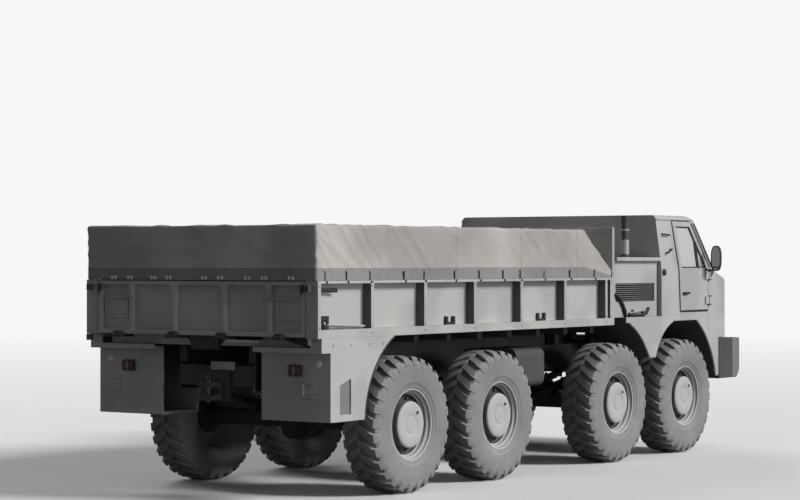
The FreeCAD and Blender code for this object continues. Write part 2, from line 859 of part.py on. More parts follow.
def hinge_ears():
    """Ears on the front post, above and below each door hinge barrel, clear of the door's front edge."""
    x0, x1 = door_hinge_x - door_hinge_radius, door_hinge_x + hinge_ear_leaf
    edge_y = door_hinge_y + door_hinge_radius
    ears = []
    for z in door_hinge_z:
        for low in (z - door_hinge_length / 2 - hinge_play - hinge_ear, z + door_hinge_length / 2 + hinge_play):
            ears.append(box(x0, x1, door_hinge_y - hinge_ear_lap, edge_y, low, low + hinge_ear))
            ears.append(box(door_hinge_x + door_hinge_radius, x1, half_width, edge_y, low, low + hinge_ear))
    return ears


def cab_shell():
    shell = cab_body(0).cut(cab_body(cab_wall))
    doorway = door_prism(door_outline(0, 0))
    shell = shell.cut(doorway).cut(mirrored(doorway))
    for cutter in screen_openings():
        shell = shell.cut(cutter)
    ears = hinge_ears()
    return fuse([shell] + ears + [mirrored(ear) for ear in ears])


def door():
    """The left door: a leaf of the cab's side wall with its windows and hinge barrels."""
    leaf = cab_body(0).cut(cab_body(cab_wall)).common(door_prism(door_outline(door_gap, door_rear_gap)))
    for outline in window_outlines():
        leaf = leaf.cut(door_prism(outline))
    parts = [leaf]
    for z in door_hinge_z:
        low, high = z - door_hinge_length / 2, z + door_hinge_length / 2
        parts.append(bar(V(door_hinge_x, door_hinge_y, low), V(0, 0, 1), door_hinge_radius, door_hinge_length))
        parts.append(box(door_hinge_x - door_hinge_leaf, door_hinge_x, half_width, door_hinge_y, low, high))
    handle_x = rear_axle_x + door_rear_offset + handle_inset
    handle_z = shoulder_z - handle_drop
    parts.append(box(handle_x, handle_x + handle_length, half_width, half_width + handle_stand_out,
                     handle_z, handle_z + handle_height))
    return fuse(parts)


def glass_layer():
    return cab_body(glass_depth).cut(cab_body(glass_depth + glass_thickness))


def door_glass():
    layer = glass_layer()
    return Part.makeCompound([layer.common(door_prism(outline)) for outline in window_outlines()])


def cab_glass():
    layer = glass_layer()
    return Part.makeCompound([layer.common(cutter) for cutter in screen_openings()])


def mirror():
    """The left mirror: a head with cut corners on an arm from the door's front edge."""
    x = rear_axle_x + mirror_offset
    y0, y1 = half_width + mirror_stand_out, half_width + mirror_stand_out + mirror_width
    z0 = window_sill_z - mirror_corner
    z1 = z0 + mirror_height
    cut = mirror_corner
    head = prism_yz([(y0 + cut, z0), (y1 - cut, z0), (y1, z0 + cut), (y1, z1 - cut), (y1 - cut, z1), (y0 + cut, z1),
                     (y0, z1 - cut), (y0, z0 + cut)], x, x + mirror_depth)
    arm_x, arm_z = x + mirror_arm / 2, window_sill_z - 2 * mirror_arm
    arm = box(arm_x, arm_x + mirror_arm, half_width, y0 + 2 * mirror_arm, arm_z, arm_z + mirror_arm)
    link = box(arm_x, arm_x + mirror_arm, y0 + mirror_arm, y0 + 2 * mirror_arm, arm_z, z0 + mirror_corner)
    foot = box(x, x + 2 * mirror_arm, half_width, half_width + mirror_arm / 2, arm_z, arm_z + 2 * mirror_arm)
    return fuse([head, arm, link, foot])


def seats():
    """Two seats, each with a base, a cushion and a leaning back."""
    floor = cab_inner_floor_z
    made = []
    for side in (1, -1):
        y = side * (half_width - seat_wall_gap - seat_half_width)
        x = cab_rear + cab_wall + seat_rear_gap
        y0, y1 = y - seat_half_width, y + seat_half_width
        cushion_z = floor + seat_base_height
        top_z = cushion_z + seat_cushion_height
        base = box(x + seat_rear_gap, x + seat_length - seat_rear_gap, y0 + seat_back_lean, y1 - seat_back_lean,
                   floor, cushion_z)
        cushion = box(x, x + seat_length, y0, y1, cushion_z, top_z)
        back = prism_xz([(x, top_z), (x + seat_back_thickness, top_z),
                         (x + seat_back_thickness - seat_back_lean, top_z + seat_back_height),
                         (x, top_z + seat_back_height)], y0, y1)
        made.append(fuse([base, cushion, back]))
    return Part.makeCompound(made)


def dashboard():
    """A shelf under the windscreen, as wide as the cab inside."""
    rear_x = rear_axle_x + screen_base_offset - dash_depth
    front = rear_axle_x + nose_top_offset
    profile = [(rear_x, dash_low_z), (rear_x + dash_lean, dash_high_z), (front, dash_high_z), (front, dash_low_z)]
    inner = half_width - 2 * cab_wall
    return prism_xz(profile, -inner, inner).common(cab_body(cab_wall))


def steering_wheel():
    """A rim with a cross bar on its column, leaning back from the floor."""
    seat_y = half_width - seat_wall_gap - seat_half_width
    hub = V(rear_axle_x + steering_offset, seat_y, steering_z)
    r, t = steering_radius, steering_rim
    rim = turned([(r - t, -t), (r + t, -t), (r + t, t), (r - t, t)], bar_sides, hub)
    half = steering_spoke / 2
    spokes = [box(hub.x - r, hub.x + r, hub.y - half, hub.y + half, hub.z - half, hub.z + half),
              box(hub.x - half, hub.x + half, hub.y - half, hub.y + half, hub.z - r, hub.z)]
    wheel_solid = fuse([rim] + spokes)
    wheel_solid.rotate(hub, V(1, 0, 0), -90)
    wheel_solid.rotate(hub, V(0, 1, 0), steering_lean)
    lean = math.radians(steering_lean)
    down = V(math.sin(lean), 0, -math.cos(lean))
    reach = (hub.z - cab_inner_floor_z) / math.cos(lean) + steering_column_radius
    column = bar(hub, down, steering_column_radius, reach)
    below = box(hub.x - cab_rear_offset, hub.x + cab_rear_offset, -half_width, half_width, 0, cab_inner_floor_z)
    return fuse([wheel_solid, column]).cut(below)


def engine_cover():
    """A hollow box behind the cab with a lid, a louvred vent in each side and a stack."""
    x0, x1 = engine_cover_rear, engine_cover_front
    y, w = engine_cover_half_width, engine_cover_wall
    lid_z = engine_lid_top_z - engine_lid_thickness
    shell = box(x0, x1, -y, y, cab_floor_z, lid_z)
    shell = shell.cut(box(x0 + w, x1 - w, -y + w, y - w, cab_floor_z, lid_z - w))
    lid = box(x0, x1, -half_width, half_width, lid_z, engine_lid_top_z)
    vent_x0, vent_x1 = x0 + w + vent_inset, x1 - w - vent_inset
    vent = box(vent_x0, vent_x1, y - w, y, vent_bottom_z, vent_top_z)
    shell = shell.cut(vent).cut(mirrored(vent))
    parts = [shell, lid]
    pitch = (vent_top_z - vent_bottom_z) / slat_count
    for i in range(slat_count):
        z = vent_bottom_z + i * pitch + (pitch - slat_thickness) / 2
        slat = box(vent_x0, vent_x1, y - slat_setback - slat_depth, y - slat_setback, z, z + slat_thickness)
        parts += [slat, mirrored(slat)]
    foot = V(rear_axle_x + stack_offset, stack_y, engine_lid_top_z)
    parts.append(bar(foot, V(0, 0, 1), stack_radius, stack_height))
    return fuse(parts)


def engine_block():
    """The engine as one block on two cross feet that stand on the rails' lower lips."""
    reach = rail_outer - 2 * rail_wall
    block = box(engine_rear, engine_front, -engine_half_width, engine_half_width, lip_z,
                engine_lid_top_z - engine_lid_thickness - engine_top_gap)
    feet = [box(x - engine_foot / 2, x + engine_foot / 2, -reach, reach, lip_z, lip_z + engine_foot)
            for x in (engine_rear + engine_foot_inset, engine_front - engine_foot_inset)]
    return fuse([block] + feet)


def fender_outline():
    """The wing's side outline: two wheel arches and the notch for the bumper's end."""
    rear, front = rear_axle_x + fender_rear_offset, rear_axle_x + nose_bottom_offset
    step = rear_axle_x + nose_step_offset
    bumper_x = rear_axle_x + bumper_wing_offset - bumper_gap
    notch_z = bumper_top_z + bumper_gap
    fall = [axle_x[1] + reach for reach in arch_behind_second]
    rise = [axle_x[0] + reach for reach in arch_before_first]
    last = [axle_x[0] + reach for reach in arch_past_first]
    points = [(last[2], arch_end_z), (bumper_x, arch_end_z), (bumper_x, notch_z), (front, notch_z),
              (front, nose_bottom_z), (step, nose_bottom_z), (step, cab_floor_z), (rear, cab_floor_z),
              (rear, arch_top_z)]
    return [
        line((rear, arch_top_z), (fall[0], arch_top_z)),
        *arc((fall[0], arch_top_z), (fall[1], arch_behind_second_z), (fall[2], arch_tip_z)),
        line((fall[2], arch_tip_z), (rise[0], arch_tip_z)),
        *arc((rise[0], arch_tip_z), (rise[1], arch_before_first_z), (rise[2], arch_top_z)),
        line((rise[2], arch_top_z), (last[0], arch_top_z)),
        *arc((last[0], arch_top_z), (last[1], arch_past_first_z), (last[2], arch_end_z)),
        *(line(a, b) for a, b in zip(points, points[1:])),
    ]


def hollow_wing(outline, inner_y, wall):
    """A side skin with a band round its outline, open towards the truck's middle."""
    whole = Part.Face(Part.Wire(outline))
    pocket = inset_face(whole, wall)
    for shape in (whole, pocket):
        shape.translate(V(0, inner_y, 0))
    block = whole.extrude(V(0, half_width - inner_y, 0))
    return block.cut(pocket.extrude(V(0, half_width - wall - inner_y, 0)))


def front_fender():
    """The left front wing, its front corner rounded as the cab's."""
    rounding = plan_face().extrude(V(0, 0, cab_floor_z))
    return hollow_wing(fender_outline(), fender_inner_y, fender_wall).common(rounding)


def bumper():
    """A beam with its ends turned back along the wings, with a pocket for each lamp."""
    x0, x1 = bumper_rear, bumper_front
    profile = [(x0, bumper_bottom_z), (x1 - bumper_chamfer, bumper_bottom_z), (x1, bumper_bottom_z + bumper_chamfer),
               (x1, bumper_top_z), (x0, bumper_top_z)]
    beam = prism_xz(profile, -half_width, half_width)
    wing_x = rear_axle_x + bumper_wing_offset
    parts = [beam]
    for side in (1, -1):
        parts.append(side_box(wing_x, x0, half_width - bumper_wing_width, half_width, bumper_bottom_z,
                              bumper_top_z, side))
    whole = fuse(parts)
    plan = [(V(wing_x, -half_width, 0), 0), (V(x1, -half_width, 0), bumper_corner),
            (V(x1, half_width, 0), bumper_corner), (V(wing_x, half_width, 0), 0)]
    whole = whole.common(rounded_face(plan).extrude(V(0, 0, bumper_top_z)))
    pocket = bar(V(x1 - headlamp_depth, headlamp_y, headlamp_z), V(1, 0, 0),
                 headlamp_radius + headlamp_gap, headlamp_depth)
    return whole.cut(pocket).cut(mirrored(pocket))


def headlamp():
    """A round lamp that stands in the bumper's pocket, its lens domed."""
    base = V(bumper_front - headlamp_depth, headlamp_y, headlamp_z)
    r = headlamp_radius
    shoulder = headlamp_depth - headlamp_gap
    profile = [(0, 0), (r, 0), (r, shoulder), (headlamp_lens_radius, headlamp_depth), (0, headlamp_depth)]
    lamp = turned(profile, bar_sides, base, phase=math.pi / bar_sides)
    lamp.rotate(base, V(0, 0, 1), -90)
    return lamp


def front_grille():
    """A louvred panel on the nose, tilted with it."""
    height = grille_high_z - grille_low_z
    inner, depth = grille_half_width - grille_bar, grille_depth
    frame = box(0, depth, -grille_half_width, grille_half_width, 0, height)
    frame = frame.cut(box(0, depth, -inner, inner, grille_bar, height - grille_bar))
    parts = [frame]
    pitch = (height - 2 * grille_bar) / grille_slats
    for i in range(grille_slats):
        z = grille_bar + i * pitch + pitch / 2
        parts.append(box(0, depth, -inner, inner, z - grille_bar / 4, z + grille_bar / 4))
    grille = fuse(parts)
    run = (nose_bottom_offset - nose_top_offset) / (nose_top_z - nose_bottom_z)
    grille.rotate(V(0, 0, 0), V(0, 1, 0), -math.degrees(math.atan(run)))
    x = rear_axle_x + nose_bottom_offset - (grille_low_z - nose_bottom_z) * run
    grille.translate(V(x, 0, grille_low_z))
    return grille


def fuel_tank():
    """The left tank with the two brackets that hang it on the rail."""
    x0 = rear_axle_x + tank_rear_offset
    top = tank_bottom_z + tank_height
    outline = [(tank_inner_y, tank_bottom_z), (tank_inner_y + tank_depth, tank_bottom_z),
               (tank_inner_y + tank_depth, top), (tank_inner_y, top)]
    tank = rounded_face([(V(x0, y, z), tank_round) for y, z in outline]).extrude(V(tank_length, 0, 0))
    parts = [tank]
    for x in (x0 + tank_strap_inset, x0 + tank_length - tank_strap_inset - tank_strap):
        parts.append(box(x, x + tank_strap, rail_outer, tank_inner_y, rail_bottom_z, top - tank_round))
    return fuse(parts)


def bed_floor():
    """Floor with its cross bearers, two long bearers, plate bracket and gate hinge ears."""
    floor_low = floor_top_z - floor_thickness
    bearer_low = bed_bottom_z - bearer_height
    parts = [box(bed_rear + gate_thickness, bed_front, -bed_inner, bed_inner, floor_low, floor_top_z)]
    long_bearer = box(frame_rear, bed_front, rail_inner, rail_outer, rail_top_z, bearer_low)
    parts += [long_bearer, mirrored(long_bearer)]
    first, last = bed_rear + gate_thickness + bearer_width, bed_front - bearer_width
    reach = half_width - bearer_end_gap
    for i in range(bearer_count):
        x = first + (last - first) * i / (bearer_count - 1)
        parts.append(box(x - bearer_width / 2, x + bearer_width / 2, -reach, reach, bearer_low, floor_low))
    plate_x = bed_rear + gate_thickness
    parts.append(box(plate_x, plate_x + plate_bracket_depth, -plate_bracket_width / 2, plate_bracket_width / 2,
                     bed_bottom_z - plate_bracket_height, floor_low))
    return fuse(parts + gate_step() + tailgate_hinge_ears())


def gate_step():
    """The step under the gate on the right, with its hanger at each end."""
    x0, x1 = bed_rear - gate_step_stand_out, bed_rear + gate_thickness + hinge_ear_reach
    y0, y1 = -gate_step_y - gate_step_length, -gate_step_y
    low, high = bed_bottom_z - gate_step_drop, bed_bottom_z + sill_height / 2
    parts = [box(x0, x1, y0, y1, low, low + gate_step_thickness)]
    for y in (y0, y1 - gate_step_thickness):
        parts.append(box(bed_rear + gate_thickness, x1, y, y + gate_step_thickness, low, high))
    return parts


def tailgate_hinge_ears():
    """Ears under the bed's rear edge, either side of the gate's hinge barrels."""
    r = hinge_barrel_radius
    ears = []
    for middle in hinge_places:
        for side in (-1, 1):
            edge = middle + side * (hinge_barrel_length / 2 + hinge_play)
            y0, y1 = sorted((edge, edge + side * hinge_ear_width))
            outline = [(gate_axis_x - r, bed_bottom_z), (gate_axis_x - r / 2, bed_bottom_z - r),
                       (bed_rear + gate_thickness + hinge_ear_reach, bed_bottom_z - r),
                       (bed_rear + gate_thickness + hinge_ear_reach, bed_bottom_z),
                       (gate_axis_x + r, bed_bottom_z), (gate_axis_x, bed_bottom_z + r / 2)]
            ear = prism_xz(outline, y0, y1)
            ears += [ear, mirrored(ear)]
    return ears


def rope_hook(x):
    """A pair of rope hooks on one foot, on the right side's sill."""
    y = half_width - side_depth
    z = floor_top_z
    plate = box(x - hook_spacing / 2, x + hook_spacing / 2, -y - latch_depth, -y, z, z + latch_depth)
    pair = [plate]
    for end in (-1, 1):
        middle = x + end * hook_spacing / 2
        pair.append(box(middle - hook_width / 2, middle + hook_width / 2, -y - latch_depth, -y, z, z + hook_height))
    return pair


def bed_side():
    """The right side: panel set back between rail and sill, with ribs, hooks and latches."""
    y0, y1 = bed_inner, half_width
    rail_low = rail_z - side_rail_height
    profile = [(-y0, bed_bottom_z), (-y1, bed_bottom_z), (-y1, floor_top_z), (-y0 - side_panel, floor_top_z),
               (-y0 - side_panel, rail_low), (-y1, rail_low), (-y1, rail_z), (-y0, rail_z)]
    parts = [prism_yz(profile, bed_rear, bed_front)]
    for x in rib_places + [bed_rear, bed_front - rib_width]:
        parts.append(box(x, x + rib_width, -y1, -y0 - side_panel, floor_top_z, rail_low))
    for z in (bed_bottom_z - corner_lug_height, rail_z - corner_lug_drop):
        lug_y = y1 - corner_lug_inset
        parts.append(box(bed_rear - hinge_stand_out, bed_rear, -lug_y, corner_lug_width - lug_y,
                         z, z + corner_lug_height))
    for reach in hook_places:
        parts += rope_hook(bed_rear + reach)
    return fuse(parts + side_latches())


def side_latches():
    """The upper and lower latches at the rear end of the right side."""
    y = half_width - side_depth
    x0 = bed_rear + rib_width
    top = rail_z - side_rail_height - upper_latch_drop
    upper = box(x0, x0 + upper_latch_length, -y - latch_depth, -y, top - latch_bar_height, top)
    block = box(x0, x0 + lower_latch_length, -y - latch_depth * 2, -y, floor_top_z, floor_top_z + lower_latch_height)
    jaw = box(x0 + lower_latch_open / 2, x0 + lower_latch_open * 3 / 2, -y - latch_depth * 2, -y - latch_depth,
              floor_top_z + lower_latch_open / 2, floor_top_z + lower_latch_height - lower_latch_open / 2)
    pull = bar(V(x0 + lower_latch_length, -y - latch_depth, floor_top_z + rod_radius * 2), V(1, 0, 0), rod_radius,
               rod_length)
    return [upper, block.cut(jaw), pull]


def headboard():
    """The bed's front wall: a panel framed by posts and a top bar on its rear face."""
    top = rail_z + headboard_rise
    wall = box(bed_front, bed_front + headboard_thickness, -half_width, half_width, bed_bottom_z, top)
    inner = half_width - headboard_post
    return wall.cut(box(bed_front, bed_front + headboard_recess, -inner, inner, rail_z, top - headboard_post))


def gate_panels(x0, x1, inner, low, high):
    """Cutters of the gate's five recesses, the middle three with rounded top corners."""
    first, second = gate_post_places
    half = rib_width / 2
    spans = [(-first + half, first - half, gate_panel_round)]
    for side in (1, -1):
        spans.append((*sorted((side * (first + half), side * (second - half))), gate_panel_round))
        spans.append((*sorted((side * (second + half), side * (inner - rib_width))), 0))
    cutters = []
    for y0, y1, radius in spans:
        corners = [((y0, low), 0), ((y1, low), 0), ((y1, high), radius), ((y0, high), radius)]
        outline = rounded_face([(V(x0, y, z), r) for (y, z), r in corners])
        cutters.append(outline.extrude(V(x1 - x0, 0, 0)))
    return cutters


def tailgate():
    """The rear gate: five recessed panels, two with a raised square, on four hinges."""
    inner = bed_inner - gate_gap
    x0, x1 = bed_rear, bed_rear + gate_thickness - gate_gap
    low, high = floor_top_z - gate_drop, gate_top_z
    gate = box(x0, x1, -inner, inner, low, high)
    panel_x = x1 - side_panel
    for cutter in gate_panels(x0, panel_x, inner, low + gate_sill, high - gate_rail):
        gate = gate.cut(cutter)
    parts = [gate]
    hatch_y = (gate_post_places[1] + inner) / 2
    hatch_z = (low + high) / 2
    wide, tall, edge = hatch_frame_width / 2, hatch_frame_height / 2, hatch_frame_bar
    frame = box(panel_x - hatch_frame_depth, panel_x, hatch_y - wide, hatch_y + wide, hatch_z - tall, hatch_z + tall)
    frame = frame.cut(box(panel_x - hatch_frame_depth, panel_x, hatch_y - wide + edge, hatch_y + wide - edge,
                          hatch_z - tall + edge, hatch_z + tall - edge))
    parts += [frame, mirrored(frame)]
    for middle in hinge_places:
        y0 = middle - hinge_barrel_length / 2
        barrel = bar(V(gate_axis_x, y0, bed_bottom_z), V(0, 1, 0), hinge_barrel_radius, hinge_barrel_length)
        y1, leaf_top = y0 + hinge_barrel_length, bed_bottom_z + 2 * hinge_barrel_radius
        leaf = box(gate_axis_x, x0, y0, y1, bed_bottom_z, leaf_top)
        parts += [barrel, leaf, mirrored(barrel), mirrored(leaf)]
    return fuse(parts)


def rear_mudguard():
    """The left rear skirt: side skin with a recess, curved front band and rear wall."""
    def at(offset, z):
        return (rear_axle_x + offset, z)

    top = bed_bottom_z
    start = at(skirt_arch_top_offset, top)
    points = [at(skirt_front_offset, skirt_bottom_z), at(skirt_rear_offset, skirt_bottom_z),
              at(skirt_rear_offset, skirt_step_z), at(skirt_upper_rear_offset, skirt_step_z),
              at(skirt_upper_rear_offset, top), start]
    outline = arc(start, at(skirt_arch_mid_offset, skirt_arch_mid_z), points[0])
    outline += [line(a, b) for a, b in zip(points, points[1:])]
    shell = hollow_wing(outline, skirt_inner_y, skirt_wall)
    under_bed = bed_bottom_z - bearer_height
    shell = shell.cut(box(bed_rear, bed_front, 0, bed_inner, under_bed, top))
    left, right = recess_rear_offset, recess_rear_offset + recess_length
    recess = prism_xz([at(left, recess_low_z), at(right, recess_low_z), at(right, recess_high_z),
                       at(left, recess_high_z - recess_slant)], half_width - recess_depth, half_width)
    return fuse([shell.cut(recess), mooring_ring()])


def mooring_ring():
    """A square-cut open ring on the skirt's rear wall."""
    x1 = rear_axle_x + skirt_rear_offset
    outer = box(x1 - ring_bar, x1, ring_y - ring_radius, ring_y + ring_radius, ring_z - ring_radius,
                ring_z + ring_radius)
    inner = ring_radius - ring_bar
    return outer.cut(box(x1 - ring_bar, x1, ring_y - inner, ring_y + ring_radius, ring_z - inner, ring_z + inner))


def tilt_profile(inset):
    """The tilt seen from the side, every wall moved in by inset and the bottom open."""
    rear, front = bed_rear - tilt_overhang + inset, bed_front - gate_gap - inset
    end_z = rail_z + tilt_front_rise
    lean = math.atan2(tilt_top_z - end_z, bed_front - gate_gap - tilt_slope_x)
    cut_x = tilt_slope_x - inset * math.tan(lean / 2)
    cut_z = end_z - inset * math.tan(math.pi / 4 - lean / 2)
    low = rail_z - (tilt_wall if inset else 0)
    return [(rear, low), (front, low), (front, cut_z), (cut_x, tilt_top_z - inset), (rear, tilt_top_z - inset)]


def tarp():
    """The canvas as a thin shell that stands on the side rails, clear of the gate."""
    outer = prism_xz(tilt_profile(0), -tilt_y, tilt_y)
    inner = prism_xz(tilt_profile(tilt_wall), -tilt_y + tilt_wall, tilt_y - tilt_wall)
    rear = bed_rear - tilt_overhang
    gate_slot = box(rear, bed_rear + gate_thickness, -bed_inner, bed_inner, gate_top_z, gate_top_z + tilt_gate_clear)
    return outer.cut(inner).cut(gate_slot)


def tarp_bows():
    """Square tube bows that stand on the side rails and carry the tilt."""
    y = tilt_y - tilt_wall - bow_gap
    top = tilt_top_z - tilt_wall - bow_gap
    first, last = bed_rear + bow_inset, tilt_slope_x - bow_front_gap
    bows = []
    for i in range(bow_count):
        x = first + (last - first) * i / (bow_count - 1)
        outer = box(x - bow_size / 2, x + bow_size / 2, -y, y, rail_z, top)
        bows.append(outer.cut(box(x - bow_size, x + bow_size, -y + bow_size, y - bow_size, rail_z, top - bow_size)))
    return Part.makeCompound(bows)


def tail_lamp():
    x = rear_axle_x + skirt_rear_offset
    return box(x - tail_lamp_depth, x, tail_lamp_y - tail_lamp_width / 2, tail_lamp_y + tail_lamp_width / 2,
               tail_lamp_z - tail_lamp_height / 2, tail_lamp_z + tail_lamp_height / 2)


def tow_hitch():
    """A plate on the rear cross member with a two-ear jaw bored for a drop pin."""
    x1 = frame_rear
    x0 = x1 - hitch_plate_thickness
    plate = box(x0, x1, -hitch_plate_half_width, hitch_plate_half_width, hitch_low_z, hitch_high_z)
    high = hitch_jaw_low_z + 2 * hitch_jaw_thickness + hitch_mouth
    jaw = box(x0 - hitch_jaw_length, x0, -hitch_jaw_half_width, hitch_jaw_half_width, hitch_jaw_low_z, high)
    mouth_z = hitch_jaw_low_z + hitch_jaw_thickness
    mouth = box(x0 - hitch_jaw_length, x0 - hitch_jaw_length + hitch_mouth_depth, -hitch_jaw_half_width,
                hitch_jaw_half_width, mouth_z, mouth_z + hitch_mouth)
    hole = rod(V(x0 - hitch_pin_setback, 0, hitch_jaw_low_z), V(0, 0, 1), hitch_pin_radius, high - hitch_jaw_low_z)
    return fuse([plate, jaw.cut(mouth)]).cut(hole)


for number, x in enumerate(axle_x, start=1):
    for side, word in ((1, "left"), (-1, "right")):
        middle = V(x, side * wheel_centre_y, axle_z)
        export(f"tyre_{number}_{word}", tyre(middle, side))
        export(f"wheel_{number}_{word}", wheel(middle, side))
        if steered[number - 1]:
            export(f"knuckle_{number}_{word}", knuckle(x, side))

left_door, left_glass, left_mirror = door(), door_glass(), mirror()
export("door_left", left_door)
export("door_right", mirrored(left_door))
export("door_glass_left", left_glass)
export("door_glass_right", mirrored(left_glass))
export("mirror_left", left_mirror)
export("mirror_right", mirrored(left_mirror))

export("axles", Part.makeCompound([axle(x, s) for x, s in zip(axle_x, steered)]))
export("leaf_springs", Part.makeCompound([leaf_spring(x, side) for x in axle_x for side in (1, -1)]))
export("chassis_frame", chassis_frame())
export("drive_shafts", drive_shafts())
export("transfer_case", transfer_case())
export("engine_block", engine_block())
export("engine_cover", engine_cover())
export("fuel_tanks", both_sides(fuel_tank()))
export("cab_shell", cab_shell())
export("cab_glass", cab_glass())
export("seats", seats())
export("dashboard", dashboard())
export("steering_wheel", steering_wheel())
export("bumper", bumper())
export("headlamps", both_sides(headlamp()))
export("front_grille", front_grille())
export("front_fenders", both_sides(front_fender()))
export("bed_floor", bed_floor())
export("bed_sides", both_sides(bed_side()))
export("headboard", headboard())
export("tailgate", tailgate())
export("rear_mudguards", both_sides(rear_mudguard()))
export("tarp_bows", tarp_bows())
export("tarp", tarp())
export("tail_lamps", both_sides(tail_lamp()))
export("tow_hitch", tow_hitch())
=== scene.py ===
"""Dresses an eight-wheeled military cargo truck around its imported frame.

Every length is in metres, in the frame of the truck: +X forward, +Y to its left,
+Z up, with the ground at z = 0.
"""

import json
import logging
import math
from dataclasses import dataclass
from enum import Enum, IntEnum
from functools import cached_property
from typing import Iterable, Sequence

import bmesh
import bpy
from mathutils import Matrix, Vector, noise


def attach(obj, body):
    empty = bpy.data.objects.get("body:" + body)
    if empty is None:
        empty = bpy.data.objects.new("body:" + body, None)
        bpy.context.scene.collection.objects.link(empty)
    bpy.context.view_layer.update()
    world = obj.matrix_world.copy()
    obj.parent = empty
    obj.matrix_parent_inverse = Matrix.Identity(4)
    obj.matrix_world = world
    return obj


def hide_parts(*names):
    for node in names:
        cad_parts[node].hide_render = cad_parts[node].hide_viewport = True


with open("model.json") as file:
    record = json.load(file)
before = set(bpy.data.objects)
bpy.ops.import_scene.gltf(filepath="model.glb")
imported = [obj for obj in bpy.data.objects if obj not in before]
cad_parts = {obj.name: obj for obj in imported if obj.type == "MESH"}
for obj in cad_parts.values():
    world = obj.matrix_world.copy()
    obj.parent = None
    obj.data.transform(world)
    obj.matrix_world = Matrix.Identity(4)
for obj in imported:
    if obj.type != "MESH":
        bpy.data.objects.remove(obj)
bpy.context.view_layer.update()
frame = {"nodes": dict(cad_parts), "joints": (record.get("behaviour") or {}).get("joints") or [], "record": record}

LOG = logging.getLogger("truck")
Point = Sequence[float]
Colour = tuple[float, float, float]
Outline = Sequence[tuple[float, float]]
Ring = list[bmesh.types.BMVert]
BMesh = bmesh.types.BMesh
Edge = bmesh.types.BMEdge
Face = bmesh.types.BMFace
Node = bpy.types.Node
Tree = bpy.types.NodeTree
Piece = bpy.types.Object
Material = bpy.types.Material
Socket = bpy.types.NodeSocket

ROOT = "truck"
SIDES = {"left": 1.0, "right": -1.0}
BOTH = (-1.0, 1.0)
FULL_TURN = 2 * math.pi
UP, AHEAD, OUT, BACK = (0, 0, 1), (1, 0, 0), (0, 1, 0), (-1, 0, 0)
AXIS_EDGE = 0.0005
NODE_BODIES = {node: body for body, nodes in frame["record"]["behaviour"]["bodies"].items() for node in nodes}


class Slot(Enum):
    """The record's material slots."""

    BODY = "body_paint"
    WHEEL = "wheel_paint"
    GEAR = "running_gear"
    ENGINE = "engine"
    TYRE = "tyre"
    CANVAS = "canvas"
    GLASS = "glass"
    TRIM = "dark_trim"
    SEAT = "seat_cloth"
    LAMP = "lamp"


NODE_SLOTS = {part["node"]: Slot(part["material_slot"]) for part in frame["record"]["subparts"]}


def grey(level: int, warm: float = 0.0) -> Colour:
    """Gives a linear colour from an sRGB grey level.

    Args:
        level: The grey, from 0 to 255.
        warm: How many levels the red lies above and the blue below it.

    Returns:
        The red, green and blue parts, linear.
    """
    def linear(value: float) -> float:
        """Turns one sRGB level into its linear part."""
        part = value / 255.0
        return part / 12.92 if part <= 0.04045 else ((part + 0.055) / 1.055) ** 2.4
    return linear(level + warm), linear(level), linear(level - warm)


class NodeTree:
    """A small builder for shader nodes."""

    def __init__(self, tree: Tree) -> None:
        """Keeps the tree that nodes are added to."""
        self.tree = tree

    def add(self, kind: str, inputs: dict[str | int, object] | None = None, **settings: object) -> Node:
        """Adds a node.

        Args:
            kind: The node's type name, without "ShaderNode".
            inputs: Values or sockets for its inputs.
            settings: Attributes to set on it.

        Returns:
            The new node.
        """
        node = self.tree.nodes.new("ShaderNode" + kind)
        for name, value in settings.items():
            setattr(node, name, value)
        self.fill(node, inputs or {})
        return node

    def fill(self, node: Node, inputs: dict[str | int, object]) -> None:
        """Sets or links a node's inputs.

        Args:
            node: The node.
            inputs: A number, colour or socket for each input, by the input's name or number.
        """
        for key, value in inputs.items():
            socket = node.inputs[key]
            if isinstance(value, Socket):
                self.tree.links.new(value, socket)
            elif isinstance(value, tuple) and socket.type == "RGBA":
                socket.default_value = (*value, 1.0)
            else:
                socket.default_value = value

    @cached_property
    def place(self) -> Socket:
        """The object's own coordinates."""
        return self.add("TexCoord").outputs["Object"]

    def math(self, operation: str, *values: object) -> Socket:
        """Adds a Math node and gives its output."""
        return self.add("Math", dict(enumerate(values)), operation=operation).outputs[0]

    def weigh(self, *terms: tuple[object, float]) -> Socket:
        """Adds up values, each times its weight.

        Args:
            terms: Each value with its weight.

        Returns:
            The sum.
        """
        total, *others = (self.math("MULTIPLY", value, weight) for value, weight in terms)
        for other in others:
            total = self.math("ADD", total, other)
        return total

    def noise(self, scale: object, detail: float, roughness: float = 0.55) -> Socket:
        """Adds a Noise texture and gives its value."""
        inputs = {"Vector": self.place, "Scale": scale, "Detail": detail, "Roughness": roughness}
        return self.add("TexNoise", inputs).outputs["Fac"]

    def spread(self, value: object, low: float, high: float, start: float = 0.0, end: float = 1.0) -> Socket:
        """Maps low..high to start..end, clamped."""
        inputs = {"Value": value, "From Min": low, "From Max": high, "To Min": start, "To Max": end}
        return self.add("MapRange", inputs).outputs["Result"]

    def mix(self, factor: object, first: object, second: object) -> Socket:
        """Mixes two colours."""
        return self.add("Mix", {"Factor": factor, 6: first, 7: second}, data_type="RGBA").outputs[2]


